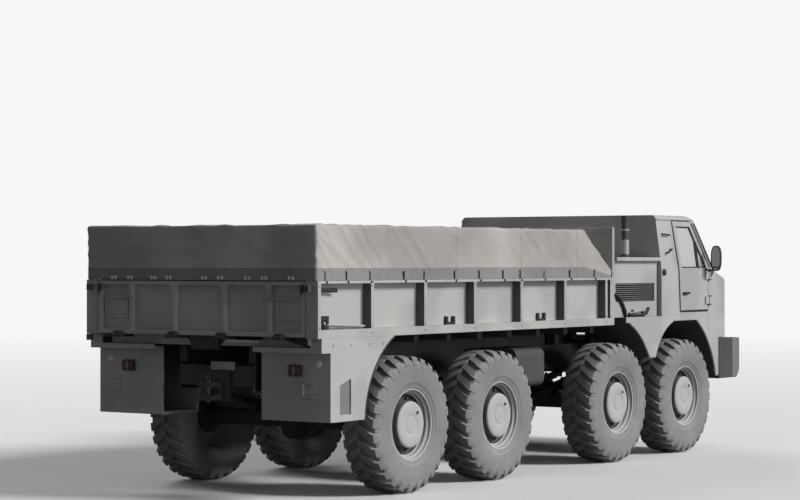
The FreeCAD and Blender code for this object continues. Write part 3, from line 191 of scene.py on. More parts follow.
class GroupShop:
    """Builds each shared effect once, as a node group."""

    def start(self, name: str, inputs: dict[str, float | Colour],
              outputs: dict[str, str]) -> tuple[NodeTree, bpy.types.NodeOutputs, Node]:
        """Opens a new group with its sockets.

        Args:
            name: The group's name.
            inputs: Each input's name and starting value, a number or a colour.
            outputs: Each output's name and socket type.

        Returns:
            The builder, what the group is given and the node that takes its results.
        """
        tree = bpy.data.node_groups.new(name, "ShaderNodeTree")
        for label, value in inputs.items():
            is_colour = isinstance(value, tuple)
            kind = "NodeSocketColor" if is_colour else "NodeSocketFloat"
            socket = tree.interface.new_socket(label, in_out="INPUT", socket_type=kind)
            socket.default_value = (*value, 1.0) if is_colour else value
        for label, kind in outputs.items():
            tree.interface.new_socket(label, in_out="OUTPUT", socket_type="NodeSocket" + kind)
        given = tree.nodes.new("NodeGroupInput").outputs
        return NodeTree(tree), given, tree.nodes.new("NodeGroupOutput")

    @cached_property
    def dust(self) -> Tree:
        """Road dust that lies on upper faces, low down and in soft patches.

        Returns:
            The group's node tree.
        """
        b, given, sink = self.start(
            "Road dust",
            {"Paint": grey(180), "Dust": grey(190), "Amount": 0.4, "Height": 0.8, "Roughness": 0.6},
            {"Colour": "Color", "Roughness": "Float"})
        normal = b.add("SeparateXYZ", {0: b.add("NewGeometry").outputs["Normal"]})
        spot = b.add("SeparateXYZ", {0: b.place})
        up = b.spread(normal.outputs["Z"], 0.1, 1.0)
        low = b.spread(b.math("DIVIDE", spot.outputs["Z"], given["Height"]), 0.2, 1.6, 1.0, 0.0)
        patches = b.spread(b.noise(2.6, 6.0, 0.62), 0.36, 0.68)
        cover = b.weigh((up, 0.55), (low, 0.6), (patches, 0.35))
        cover = b.math("MULTIPLY", cover, b.math("ADD", b.noise(34.0, 5.0, 0.7), 0.35))
        mask = b.math("MINIMUM", b.math("MULTIPLY", cover, given["Amount"]), 1.0)
        rough = b.math("ADD", given["Roughness"], b.math("MULTIPLY", mask, 0.3))
        b.fill(sink, {"Colour": b.mix(mask, given["Paint"], given["Dust"]),
                      "Roughness": b.math("MINIMUM", rough, 1.0)})
        return b.tree

    @cached_property
    def edge_wear(self) -> Tree:
        """A mask of rubbed edges, broken up by noise.

        Returns:
            The group's node tree.
        """
        b, given, sink = self.start("Edge wear", {"Width": 0.006, "Amount": 0.5}, {"Mask": "Float"})
        bevel = b.add("Bevel", {"Radius": given["Width"]}, samples=4).outputs["Normal"]
        normal = b.add("NewGeometry").outputs["Normal"]
        dot = b.add("VectorMath", {0: bevel, 1: normal}, operation="DOT_PRODUCT")
        edge = b.spread(dot.outputs["Value"], 0.995, 0.86)
        ragged = b.spread(b.noise(21.0, 8.0, 0.7), 0.42, 0.62)
        b.fill(sink, {"Mask": b.math("MULTIPLY", b.math("MULTIPLY", edge, ragged), given["Amount"])})
        return b.tree

    @cached_property
    def grain(self) -> Tree:
        """A height for Bump: a fine grain over slow waves.

        Returns:
            The group's node tree.
        """
        b, given, sink = self.start("Grain", {"Fine": 220.0, "Slow": 3.0}, {"Height": "Float"})
        slow = b.math("MULTIPLY", b.noise(given["Slow"], 2.0), 0.5)
        b.fill(sink, {"Height": b.math("ADD", b.noise(given["Fine"], 3.0), slow)})
        return b.tree

    @cached_property
    def weave(self) -> Tree:
        """A plain weave of warp and weft threads, as a height and a colour mask.

        Returns:
            The group's node tree.
        """
        b, given, sink = self.start("Weave", {"Threads": 260.0}, {"Height": "Float", "Mask": "Float"})
        threads = []
        for direction, weight in (("X", 0.5), ("Y", 0.25), ("Z", 0.25)):
            inputs = {"Vector": b.place, "Scale": given["Threads"], "Distortion": 0.4}
            threads.append((b.add("TexWave", inputs, bands_direction=direction).outputs["Fac"], weight))
        b.fill(sink, {"Height": b.weigh(*threads), "Mask": b.spread(b.noise(1.1, 2.5, 0.5), 0.38, 0.62)})
        return b.tree


GROUPS = GroupShop()


class Surface(NodeTree):
    """A new material with its Principled shader."""

    def __init__(self, name: str) -> None:
        """Makes the material.

        Args:
            name: Its name.
        """
        self.material = bpy.data.materials.new(name)
        self.material.use_nodes = True
        super().__init__(self.material.node_tree)
        self.shader = self.tree.nodes["Principled BSDF"]

    def cover(self, paint: object, dust: Colour, amount: float, height: float, roughness: float) -> None:
        """Lays road dust over the paint.

        Args:
            paint: The colour under the dust, or its socket.
            dust: The dust's colour.
            amount: How much of it lies there, from 0 to 1.
            height: Up to what height it lies thickest.
            roughness: The clean paint's roughness.
        """
        layer = self.add("Group", {"Paint": paint, "Dust": dust, "Amount": amount, "Height": height,
                                   "Roughness": roughness}, node_tree=GROUPS.dust).outputs
        self.fill(self.shader, {"Base Color": layer["Colour"], "Roughness": layer["Roughness"]})

    def raise_by(self, height: Socket, strength: float, distance: float) -> None:
        """Turns a height into a bump of the surface."""
        bump = self.add("Bump", {"Strength": strength, "Distance": distance, "Height": height})
        self.fill(self.shader, {"Normal": bump.outputs["Normal"]})


@dataclass(frozen=True)
class Finish:
    """A painted, rubber or cast surface with dust, worn edges and grain."""

    name: str
    colour: Colour
    dust_colour: Colour
    dust: float
    dust_height: float
    roughness: float
    metallic: float = 0.0
    wear_colour: Colour = (0.05, 0.05, 0.05)
    wear: float = 0.35
    wear_width: float = 0.006
    grain_fine: float = 220.0
    grain_slow: float = 2.5
    bump: float = 0.06
    specular: float = 0.4
    patch: float = 0.0

    def build(self) -> Material:
        """Makes the material.

        Returns:
            The new material.
        """
        b = Surface(self.name)
        wear = b.add("Group", {"Width": self.wear_width, "Amount": self.wear}, node_tree=GROUPS.edge_wear)
        patches = b.spread(b.noise(1.7, 1.5, 0.4), 0.44, 0.56)
        paint = b.mix(patches, self.colour, tuple(part * (1.0 - self.patch) for part in self.colour))
        paint = b.mix(wear.outputs["Mask"], paint, self.wear_colour)
        b.cover(paint, self.dust_colour, self.dust, self.dust_height, self.roughness)
        b.fill(b.shader, {"Metallic": self.metallic, "Specular IOR Level": self.specular})
        grain = b.add("Group", {"Fine": self.grain_fine, "Slow": self.grain_slow}, node_tree=GROUPS.grain)
        b.raise_by(grain.outputs["Height"], self.bump, 0.004)
        return b.material


@dataclass(frozen=True)
class Cloth:
    """A woven fabric with faded patches."""

    name: str
    colour: Colour
    faded: Colour
    threads: float
    bump: float
    roughness: float = 0.9
    sheen: float = 0.15

    def build(self) -> Material:
        """Makes the material.

        Returns:
            The new material.
        """
        b = Surface(self.name)
        weave = b.add("Group", {"Threads": self.threads}, node_tree=GROUPS.weave)
        paint = b.mix(weave.outputs["Mask"], self.colour, self.faded)
        b.cover(paint, self.faded, 0.5, 1.0, self.roughness)
        b.fill(b.shader, {"Sheen Weight": self.sheen})
        b.raise_by(weave.outputs["Height"], self.bump, 0.002)
        return b.material


@dataclass(frozen=True)
class Clear:
    """Window glass or a lamp lens: glossy, part see-through, with a little dust."""

    name: str
    colour: Colour
    alpha: float
    roughness: float

    def build(self) -> Material:
        """Makes the material.

        Returns:
            The new material.
        """
        b = Surface(self.name)
        b.cover(self.colour, grey(170, 2), 0.25, 0.6, self.roughness)
        b.fill(b.shader, {"Alpha": self.alpha, "IOR": 1.45})
        return b.material


class Paints:
    """Every finish of the truck, each built once."""

    def __init__(self) -> None:
        """Builds the finishes and ties one to each slot."""
        self.body = Finish("Body paint", grey(176, 2), grey(188, 3), 0.42, 1.1, 0.55,
                           wear_colour=grey(120, 2), patch=0.16).build()
        # Darker grey laid on the rear-facing faces of the bed's ribs: painted shade.
        self.painted_shade = Finish("Shaded rib paint", grey(84, 2), grey(104, 2), 0.3, 1.1, 0.65).build()
        # A mid grey. On the louvres and the skirts' step pockets it is painted shade in the recesses; on the
        # bumper's ends, a screen pillar strip and the middle tail lamp lens it is plain mid grey.
        self.mid_grey_and_recess_shade = Finish("Louvre paint", grey(122, 2), grey(138, 2), 0.3, 1.1, 0.6, patch=0.1).build()
        self.wheel = Finish("Wheel paint", grey(178, 1), grey(176, 2), 0.5, 1.2, 0.6,
                            wear_colour=grey(110)).build()
        self.gear = Finish("Chassis paint", grey(68), grey(108, 2), 0.45, 0.9, 0.7).build()
        self.engine = Finish("Cast iron", grey(70), grey(92, 2), 0.4, 1.0, 0.75, bump=0.2).build()
        self.tyre = Finish("Tyre rubber", grey(104), grey(164, 2), 0.8, 1.7, 0.85, wear_colour=grey(164, 2),
                           wear=0.5, wear_width=0.01, grain_fine=140.0, bump=0.18, specular=0.25).build()
        self.trim = Finish("Black rubber and plastic", grey(42), grey(110, 2), 0.25, 0.8, 0.6,
                           wear=0.2, specular=0.3).build()
        self.steel = Finish("Worn steel", grey(96), grey(140, 2), 0.3, 1.0, 0.45, metallic=0.7,
                            wear_colour=grey(170)).build()
        self.eyelet = Finish("Zinc eyelets", grey(232, 3), grey(206, 3), 0.2, 0.8, 0.5, wear=0.1).build()
        self.canvas = Cloth("Tilt canvas", grey(152, 4), grey(178, 4), 150.0, 0.35).build()
        # A darker cloth: on the tilt's hem it is painted shade; the straps' webbing loops are made of it too.
        self.band = Cloth("Tilt hem", grey(126, 2), grey(140, 2), 150.0, 0.35).build()
        self.seat = Cloth("Cushion cloth", grey(58), grey(70), 320.0, 0.3, 0.85, 0.1).build()
        self.glass = Clear("Screen glass", grey(110), 0.45, 0.05).build()
        # The door glass is a light grey and mostly opaque: a painted reflection.
        self.door_glass = Clear("Door glass", grey(206), 0.80, 0.06).build()
        self.lens = Clear("Lamp lens", grey(214, 2), 1.0, 0.15).build()
        self.red_lens = Clear("Tail lamp lens", (0.11, 0.022, 0.02), 1.0, 0.25).build()
        self.mirror = Finish("Mirror glass", grey(140), grey(140), 0.1, 0.5, 0.05, metallic=1.0, wear=0.0,
                             bump=0.0).build()
        self.by_slot = {
            Slot.BODY: self.body, Slot.WHEEL: self.wheel, Slot.GEAR: self.gear, Slot.ENGINE: self.engine,
            Slot.TYRE: self.tyre, Slot.CANVAS: self.canvas, Slot.GLASS: self.glass, Slot.TRIM: self.trim,
            Slot.SEAT: self.seat, Slot.LAMP: self.lens,
        }

    def dress_nodes(self) -> None:
        """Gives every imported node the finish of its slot."""
        for name, slot in NODE_SLOTS.items():
            materials = frame["nodes"][name].data.materials
            materials.clear()
            materials.append(self.door_glass if name.startswith("door_glass") else self.by_slot[slot])


def ring_edges(ring: Ring) -> list[Edge]:
    """Lists the edges that join neighbours in a ring of corners.

    Args:
        ring: The corners.

    Returns:
        The edges, each once.
    """
    members = set(ring)
    edges = dict.fromkeys(edge for vert in ring for edge in vert.link_edges)
    return [edge for edge in edges if members.issuperset(edge.verts)]


class Shape:
    """A mesh under construction. Where its side is -1, the points that it is given are mirrored."""

    def __init__(self, bm: BMesh | None = None) -> None:
        """Starts empty, or from a mesh that is there."""
        self.bm = bm or bmesh.new()
        self.side = 1.0

    def spot(self, point: Point) -> Vector:
        """Puts a point on the side that is being built."""
        return Vector((point[0], self.side * point[1], point[2]))

    @staticmethod
    def tint(faces: Iterable[Face], material: int) -> None:
        """Gives faces a material number."""
        for part in faces:
            part.material_index = material

    def box(self, low: Point, high: Point, bevel: float = 0.0, segments: int = 1, material: int = 0) -> None:
        """Adds a box.

        Args:
            low: One of its corners.
            high: The corner across from it.
            bevel: The width of its bevelled edges.
            segments: How many faces each bevel has.
            material: The material number of its faces.
        """
        first, last = self.spot(low), self.spot(high)
        made = bmesh.ops.create_cube(self.bm, size=1.0)["verts"]
        bmesh.ops.scale(self.bm, verts=made, vec=[abs(length) for length in last - first])
        bmesh.ops.translate(self.bm, verts=made, vec=(first + last) / 2)
        self.tint((part for vert in made for part in vert.link_faces), material)
        if bevel:
            edges = list(dict.fromkeys(edge for vert in made for edge in vert.link_edges))
            bmesh.ops.bevel(self.bm, geom=edges, offset=bevel, segments=segments, profile=0.5, affect="EDGES",
                            clamp_overlap=True, material=-1)

    def rod(self, start: Point, end: Point, radius: float, sides: int = 16, end_radius: float | None = None,
            material: int = 0) -> None:
        """Adds a round bar or cone.

        Args:
            start: The middle of its first end.
            end: The middle of its other end.
            radius: Its radius at the start.
            sides: How many sides it has.
            end_radius: Its radius at the end, where that differs.
            material: The material number of its faces.
        """
        first, last = self.spot(start), self.spot(end)
        turn = Vector(UP).rotation_difference(last - first).to_matrix().to_4x4()
        made = bmesh.ops.create_cone(self.bm, cap_ends=True, segments=sides, radius1=radius,
                                     radius2=radius if end_radius is None else end_radius,
                                     depth=(last - first).length,
                                     matrix=Matrix.Translation((first + last) / 2) @ turn)["verts"]
        self.tint((part for vert in made for part in vert.link_faces), material)

    def tube(self, points: Sequence[Point], radius: float, sides: int = 8, closed: bool = False,
             material: int = 0) -> None:
        """Adds a tube along points.

        Args:
            points: The tube's middle line.
            radius: Its radius.
            sides: How many sides it has.
            closed: Whether the line is a loop.
            material: The material number of its faces.
        """
        line = [self.spot(point) for point in points]
        before = [line[-1 if closed else 0], *line[:-1]]
        after = [*line[1:], line[0 if closed else -1]]
        circle = circle_points((0, 0, 0), (0, radius, 0), (-radius, 0, 0), sides)
        rings = []
        for last, here, following in zip(before, line, after):
            turn = (following - last).to_track_quat("Z", "Y")
            rings.append(self.ring(here + turn @ corner for corner in circle))
        self.join(rings, closed, material)

    def loft(self, sections: Iterable[Iterable[Point]], material: int = 0) -> list[Face]:
        """Adds a solid that runs through sections.

        Args:
            sections: The corners of each section, in the same order.
            material: The material number of its faces.

        Returns:
            The faces of its two ends.
        """
        rings = [self.ring(self.spot(point) for point in section) for section in sections]
        return self.join(rings, False, material)

    def ring(self, points: Iterable[Vector]) -> Ring:
        """Adds a loop of corners and the edges between them.

        Args:
            points: Where the corners lie, in order.

        Returns:
            The corners.
        """
        ring = [self.bm.verts.new(point) for point in points]
        for pair in zip(ring, ring[1:] + ring[:1]):
            self.bm.edges.new(pair)
        return ring

    def join(self, rings: Sequence[Ring], closed: bool, material: int) -> list[Face]:
        """Joins rings of corners with faces.

        Args:
            rings: The rings, in order.
            closed: Whether the last one joins the first.
            material: The material number of the faces.

        Returns:
            The faces that close the two ends, if any.
        """
        pairs = list(zip(rings, rings[1:])) + ([(rings[-1], rings[0])] if closed else [])
        for first, second in pairs:
            edges = ring_edges(first) + ring_edges(second)
            self.tint(bmesh.ops.bridge_loops(self.bm, edges=edges)["faces"], material)
        ends = [] if closed else [self.bm.faces.new(ring) for ring in (rings[0], rings[-1])]
        self.tint(ends, material)
        return ends

    def strip(self, line: Sequence[Point], half: float, thick: float = 0.003, material: int = 0) -> None:
        """Lays a flat strip along points on the cab's side.

        Args:
            line: The strip's middle line.
            half: Half its width.
            thick: How far it stands out.
            material: The material number of its faces.
        """
        points = [Vector(point) for point in line]
        out = Vector(OUT) * thick
        sections = []
        for before, here, after in zip([points[0], *points[:-1]], points, [*points[1:], points[-1]]):
            across = (after - before).normalized().cross(Vector(OUT)).normalized() * half
            sections.append([here + move for move in (across, across + out, out - across, -across)])
        self.loft(sections, material)

    def spin(self, profile: Outline, centre: Point, axis: Point, steps: int, closed: bool = False,
             material: int = 0) -> None:
        """Spins an outline about an axis.

        Args:
            profile: The outline, as radius and way along the axis.
            centre: The point on the axis from which it is measured.
            axis: The axis, as a unit vector.
            steps: How many steps make a full turn.
            closed: Whether the outline is a loop.
            material: The material number of its faces.
        """
        hub, along = self.spot(centre), self.spot(axis)
        across = along.orthogonal().normalized()
        corners = [self.bm.verts.new(hub + along * way + across * radius) for radius, way in profile]
        pairs = list(zip(corners, corners[1:])) + ([(corners[-1], corners[0])] if closed else [])
        edges = [self.bm.edges.new(pair) for pair in pairs]
        before = set(self.bm.faces)
        bmesh.ops.spin(self.bm, geom=corners + edges, cent=hub, axis=along, dvec=(0, 0, 0), angle=FULL_TURN,
                       steps=steps, use_merge=True, use_duplicate=False)
        self.tint((part for part in self.bm.faces if part not in before), material)

    def piece(self, name: str, slot: Slot, materials: Sequence[Material], replaced: Sequence[str] = (),
              body: str = ROOT, smooth: float = 35.0, orient: bool = True) -> Piece:
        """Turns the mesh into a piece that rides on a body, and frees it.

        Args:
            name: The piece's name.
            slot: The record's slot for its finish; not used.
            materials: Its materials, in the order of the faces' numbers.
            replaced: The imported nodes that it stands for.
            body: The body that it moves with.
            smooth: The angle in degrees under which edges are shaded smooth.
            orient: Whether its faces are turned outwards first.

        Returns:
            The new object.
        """
        if orient:
            bmesh.ops.recalc_face_normals(self.bm, faces=self.bm.faces)
        limit = math.radians(smooth)
        for edge in self.bm.edges:
            edge.smooth = len(edge.link_faces) == 2 and edge.calc_face_angle(0.0) < limit
        for part in self.bm.faces:
            part.smooth = True
        mesh = bpy.data.meshes.new(name)
        self.bm.to_mesh(mesh)
        self.bm.free()
        for material in materials:
            mesh.materials.append(material)
        piece = bpy.data.objects.new(name, mesh)
        bpy.context.scene.collection.objects.link(piece)
        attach(piece, body)
        if replaced:
            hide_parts(*replaced)
        LOG.info("%s: %d faces on %s", name, len(mesh.polygons), body)
        return piece


def merged_copy(node: str) -> BMesh:
    """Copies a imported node's mesh, joined and with its flat faces whole.

    Args:
        node: The node's name.

    Returns:
        The copy, in the truck's frame.
    """
    source = frame["nodes"][node]
    bm = bmesh.new()
    bm.from_mesh(source.data)
    bm.transform(source.matrix_world)
    bmesh.ops.remove_doubles(bm, verts=bm.verts, dist=2e-5)
    bmesh.ops.dissolve_limit(bm, angle_limit=math.radians(0.6), verts=bm.verts, edges=bm.edges)
    return bm


def circle_points(centre: Point, first: Point, second: Point, steps: int) -> list[Vector]:
    """Gives points round a circle or an ellipse.

    Args:
        centre: Its middle.
        first: The half axis at which it starts.
        second: The other half axis.
        steps: How many points it has.

    Returns:
        The points.
    """
    hub, across, up = Vector(centre), Vector(first), Vector(second)
    turns = [FULL_TURN * step / steps for step in range(steps)]
    return [hub + across * math.cos(turn) + up * math.sin(turn) for turn in turns]


def arc_points(start: Point, middle: Point, end: Point, steps: int) -> list[Vector]:
    """Gives points on the circle through three points, from the first to the last.

    Args:
        start: The arc's start.
        middle: A point that it passes.
        end: Its end.
        steps: How many runs it is divided into.

    Returns:
        The points.
    """
    a, b, c = Vector(start), Vector(middle), Vector(end)
    ab, ac = b - a, c - a
    normal = ab.cross(ac)
    reach = normal.cross(ab) * ac.length_squared + ac.cross(normal) * ab.length_squared
    hub = a + reach / (2 * normal.length_squared)
    axis = normal.normalized()
    first, last = a - hub, c - hub
    turn = math.atan2(first.cross(last).dot(axis), first.dot(last)) % FULL_TURN
    return [hub + Matrix.Rotation(turn * place / steps, 3, axis) @ first for place in range(steps + 1)]


def wheel_centre(number: int, word: str) -> Vector:
    """Gives the middle of a wheel, from its joint."""
    name = f"spin_{number}_{word}"
    return next(Vector(joint["pos_m"]) for joint in frame["joints"] if joint["name"] == name)


@dataclass(frozen=True)
class Assembly:
    """A sub-assembly and the finishes that dress it."""

    paints: Paints


@dataclass(frozen=True)
class Tyre(Assembly):
    """A tyre with swept bars in two staggered rows."""

    radius: float = 0.68
    half_width: float = 0.215
    tread_half: float = 0.182
    groove: float = 0.034
    bars: int = 28
    sweep: float = math.radians(9.0)
    bar_half: float = math.radians(3.3)
    foot_share: float = 1.18
    shoulder_radius: float = 0.572
    bead_radius: float = 0.352
    bead_half: float = 0.186
    steps: int = 84

    def carcass(self) -> list[tuple[float, float]]:
        """Gives the casing's outline, from the inner bead over the crown to the outer bead.

        Returns:
            Pairs of radius and y.
        """
        base, bead, half, wall = self.radius - self.groove, self.bead_radius, self.bead_half, self.half_width
        outer = [
            (bead, half - 0.012), (bead + 0.010, half + 0.004), (bead + 0.030, half + 0.010),
            (bead + 0.055, half + 0.014), (bead + 0.062, half + 0.020), (bead + 0.110, wall - 0.004),
            (0.515, wall), (self.shoulder_radius, wall - 0.006), (0.615, wall - 0.016),
            (base - 0.012, self.tread_half), (base - 0.002, self.tread_half * 0.7), (base, 0.0),
        ]
        return [(radius, -y) for radius, y in outer[:-1]] + outer[::-1]

    def bar_stations(self) -> list[tuple[float, float, float, float, float]]:
        """Gives each cross-section of a bar: y, top radius, base radius, sweep share and half width share.

        Returns:
            The cross-sections, from the crown outwards.
        """
        top, base, shoulder = self.radius, self.radius - self.groove, self.shoulder_radius
        return [
            (-0.012, top - 0.001, base - 0.01, -0.05, 0.8), (0.03, top, base - 0.01, 0.12, 0.95),
            (0.10, top - 0.001, base - 0.012, 0.55, 1.0), (0.155, top - 0.006, base - 0.018, 0.92, 1.08),
            (self.tread_half, top - 0.014, base - 0.03, 1.0, 1.12),
            (self.half_width - 0.018, top - 0.042, 0.60, 1.02, 1.1),
            (self.half_width - 0.004, shoulder + 0.02, shoulder - 0.004, 1.03, 1.05),
        ]

    @staticmethod
    def at(centre: Vector, radius: float, angle: float, y: float) -> Vector:
        """Gives a point of a wheel from its radius and its angle from the ground."""
        return centre + Vector((radius * math.sin(angle), y, -radius * math.cos(angle)))

    def add_bar(self, shape: Shape, centre: Vector, outward: float, start: float) -> None:
        """Adds one bar of a row.

        Args:
            shape: The mesh that it goes into.
            centre: The wheel's middle.
            outward: 1 where the bar runs to the truck's left and -1 where it runs to its right.
            start: The bar's angle at the crown.
        """
        sections = []
        for y, top, base, swept, wide in self.bar_stations():
            middle, half = start + swept * self.sweep, self.bar_half * wide
            foot = half * self.foot_share
            corners = ((base, -foot), (top, -half), (top, half), (base, foot))
            sections.append([self.at(centre, radius, middle + angle, outward * y)
                             for radius, angle in corners])
        shape.loft(sections)

    def build(self, number: int, word: str) -> None:
        """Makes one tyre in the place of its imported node.

        Args:
            number: The axle's number, from the front.
            word: "left" or "right".
        """
        side, centre, shape = SIDES[word], wheel_centre(number, word), Shape()
        shape.spin(self.carcass(), centre, (0, side, 0), self.steps, closed=True)
        pitch = FULL_TURN / self.bars
        for place in range(self.bars):
            self.add_bar(shape, centre, side, place * pitch)
            self.add_bar(shape, centre, -side, (place + 0.5) * pitch)
        shape.piece(f"tyre.{number}.{word}", Slot.TYRE, [self.paints.tyre], [f"tyre_{number}_{word}"],
                    f"wheel_{number}_{word}", smooth=32.0)


@dataclass(frozen=True)
class Wheel(Assembly):
    """A disc wheel with a stepped rim, a dish painted dark as painted shade and a broad plain hub drum."""

    rim_radius: float = 0.352
    rim_half: float = 0.186
    hub_radius: float = 0.232
    hub_out: float = 0.181
    disc_y: float = 0.062
    nuts: int = 12
    nut_radius: float = 0.016
    steps: int = 72

    def outline(self) -> list[tuple[float, float]]:
        """Gives the wheel's outline from the inner hub face to the cap's middle.

        Returns:
            Pairs of radius and y.
        """
        r, w, disc, hub, out = self.rim_radius, self.rim_half, self.disc_y, self.hub_radius, self.hub_out
        return [
            (0.060, -0.038), (0.120, -0.038), (0.120, disc - 0.014), (r - 0.030, disc - 0.014),
            (r - 0.014, 0.02), (r - 0.012, -w + 0.02), (r - 0.004, -w), (r - 0.0005, -w + 0.002),
            (r - 0.0005, w - 0.014), (r + 0.008, w - 0.006), (r + 0.004, w), (r - 0.010, w - 0.004),
            (r - 0.016, w - 0.030), (r - 0.034, w - 0.044), (r - 0.038, w - 0.075), (r - 0.050, w - 0.082),
            (r - 0.054, disc + 0.012), (r - 0.066, disc), (hub + 0.004, disc), (hub, disc + 0.006),
            (hub, out - 0.022), (hub - 0.004, out - 0.010), (hub - 0.014, out - 0.003), (hub - 0.026, out),
            (0.098, out), (0.092, out - 0.004), (0.086, out - 0.004), (0.082, out), (AXIS_EDGE, out),
        ]

    def build(self, number: int, word: str) -> None:
        """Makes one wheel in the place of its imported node.

        Args:
            number: The axle's number, from the front.
            word: "left" or "right".
        """
        centre, out, shape = wheel_centre(number, word), Vector((0, SIDES[word], 0)), Shape()
        shape.spin(self.outline(), centre, out, self.steps)
        bmesh.ops.remove_doubles(shape.bm, verts=shape.bm.verts, dist=1e-5)
        # Faces of the recessed dish take the dark chassis paint as painted shade in the recess.
        for part in shape.bm.faces:
            spot = part.calc_center_median() - centre
            depth = spot.dot(out)
            radius = (spot - out * depth).length
            in_shaded_dish = self.hub_radius - 0.002 < radius < self.rim_radius - 0.049 and 0 < depth < 0.15
            part.material_index = int(in_shaded_dish)
        for place in range(self.nuts):
            angle = FULL_TURN * (place + 0.5) / self.nuts
            base = centre + Vector((math.sin(angle), 0, math.cos(angle))) * (self.hub_radius + 0.030)
            base += out * (self.disc_y - 0.001)
            shape.rod(base, base + out * 0.026, self.nut_radius, 6, material=1)
        valve = centre + Vector((0.10, 0, 0.115)) + out * (self.hub_out - 0.001)
        shape.rod(valve, valve + out * 0.014, 0.014, 10, material=1)
        shape.piece(f"wheel.{number}.{word}", Slot.WHEEL, [self.paints.wheel, self.paints.gear],
                    [f"wheel_{number}_{word}"], f"wheel_{number}_{word}")


@dataclass(frozen=True)
class RunningGear(Assembly):
    """The tyres and wheels, and the leaf springs."""

    spring_y: float = 0.53
    leaves: int = 7
    leaf_half: float = 0.043
    leaf_thick: float = 0.0085
    leaf_step: float = 0.010
    span: float = 0.60
    runs: int = 6
    arch_low: float = 0.875
    arch_rise: float = 0.125
    eye_z: float = 0.985
    eye_radius: float = 0.034
    eye_half: float = 0.044
    frame_y: float = 0.455

    def spring(self, shape: Shape, x: float) -> None:
        """Adds one bundle of leaves with its clamps and hangers.

        Args:
            shape: The mesh that it goes into.
            x: The axle's place.
        """
        y, half, thick = self.spring_y, self.leaf_half, self.leaf_thick
        for leaf in range(self.leaves):
            reach = self.span * (1.0 - 0.11 * leaf)
            sections = []
            for step in range(-self.runs, self.runs + 1):
                run = reach * step / self.runs
                top = self.arch_low + self.arch_rise * (abs(run) / self.span) ** 1.5 - self.leaf_step * leaf
                sections.append([(x + run, y - half, top), (x + run, y + half, top),
                                 (x + run, y + half, top - thick), (x + run, y - half, top - thick)])
            shape.loft(sections)
        for end in (-1, 1):
            clamp, bolt, eye = x + end * 0.30, x + end * 0.075, x + end * self.span
            shape.box((clamp - 0.018, y - 0.050, 0.842), (clamp + 0.018, y + 0.050, 0.935), 0.004)
            for dy in (-0.036, 0.036):
                shape.rod((bolt, y + dy, 0.80), (bolt, y + dy, 0.905), 0.011, 12)
            outer, radius, z = y + self.eye_half, self.eye_radius, self.eye_z
            shape.rod((eye, y - self.eye_half, z), (eye, outer, z), radius, 20)
            shape.box((eye - radius, self.frame_y, z), (eye + radius, outer, 1.128), 0.006)

    def build(self) -> None:
        """Makes all eight wheels and tyres, and the springs."""
        tyre, wheel, springs = Tyre(self.paints), Wheel(self.paints), Shape()
        for number in range(1, 5):
            for word, springs.side in SIDES.items():
                tyre.build(number, word)
                wheel.build(number, word)
                self.spring(springs, wheel_centre(number, word).x)
        springs.piece("leaf_springs.bundles", Slot.GEAR, [self.paints.gear], ["leaf_springs"])


class Tone(IntEnum):
    """The materials of a softened node, by number."""

    OWN = 0
    GEAR = 1
    TRIM = 2
    PAINTED_SHADE = 3
    # Mid grey; on the louvres and the skirts' step pockets it is painted shade in the recesses.
    MID_GREY_AND_RECESS_SHADE = 4
    BODY = 5


@dataclass(frozen=True)
class Zone:
    """A box in which a softened node's faces take another tone; y is taken without its sign."""

    low: Point
    high: Point
    tone: Tone = Tone.GEAR
    rearward: bool = False

    def holds(self, part: Face) -> bool:
        """Says whether a face belongs to the zone.

        Args:
            part: The face.

        Returns:
            Whether its middle lies in the box, and where that is asked, whether it looks back.
        """
        spot = part.calc_center_median()
        probe = (spot.x, abs(spot.y), spot.z)
        inside = all(a <= p <= b for a, p, b in zip(self.low, probe, self.high))
        return inside and (part.normal.x < -0.7 or not self.rearward)


@dataclass(frozen=True)
class Soften:
    """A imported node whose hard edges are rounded."""

    node: str
    bevel: float
    zones: tuple[Zone, ...] = ()
    cut_x: float | None = None
    bend: float = 0.0

    @staticmethod
    def round_edges(bm: BMesh, edges: Sequence[Edge], width: float, segments: int) -> None:
        """Bevels edges to a width with a number of segments."""
        bmesh.ops.bevel(bm, geom=edges, offset=width, offset_type="OFFSET", segments=segments, profile=0.5,
                        affect="EDGES", clamp_overlap=True)

    def round_bends(self, bm: BMesh) -> None:
        """Rounds the outer upper corners, where a bow's tube is bent.

        Args:
            bm: The bows' mesh.
        """
        top = max(vert.co.z for vert in bm.verts) - 1e-4
        wide = max(vert.co.y for vert in bm.verts) - 1e-4
        ends = [edge for edge in bm.edges
                if all(vert.co.z > top and abs(vert.co.y) > wide for vert in edge.verts)]
        self.round_edges(bm, ends, self.bend, 6)

    def build(self, paints: Paints) -> None:
        """Makes the rounded piece in the place of the node.

        Args:
            paints: The truck's finishes.
        """
        slot, bm = NODE_SLOTS[self.node], merged_copy(self.node)
        if self.bend:
            self.round_bends(bm)
        sharp = [edge for edge in bm.edges
                 if len(edge.link_faces) == 2 and edge.calc_face_angle(0.0) > math.radians(40)]
        self.round_edges(bm, sharp, self.bevel, 2)
        if self.cut_x is not None:
            bmesh.ops.bisect_plane(bm, geom=bm.verts[:] + bm.edges[:] + bm.faces[:],
                                   plane_co=(self.cut_x, 0, 0), plane_no=AHEAD)
        for part in bm.faces:
            for zone in self.zones:
                if zone.holds(part):
                    part.material_index = zone.tone
        materials = [paints.by_slot[slot], paints.gear, paints.trim, paints.painted_shade, paints.mid_grey_and_recess_shade, paints.body]
        piece = Shape(bm).piece(f"{self.node}.shell", slot, materials, [self.node], NODE_BODIES[self.node],
                                orient=False)
        piece.modifiers.new("even shading", "WEIGHTED_NORMAL").keep_sharp = True


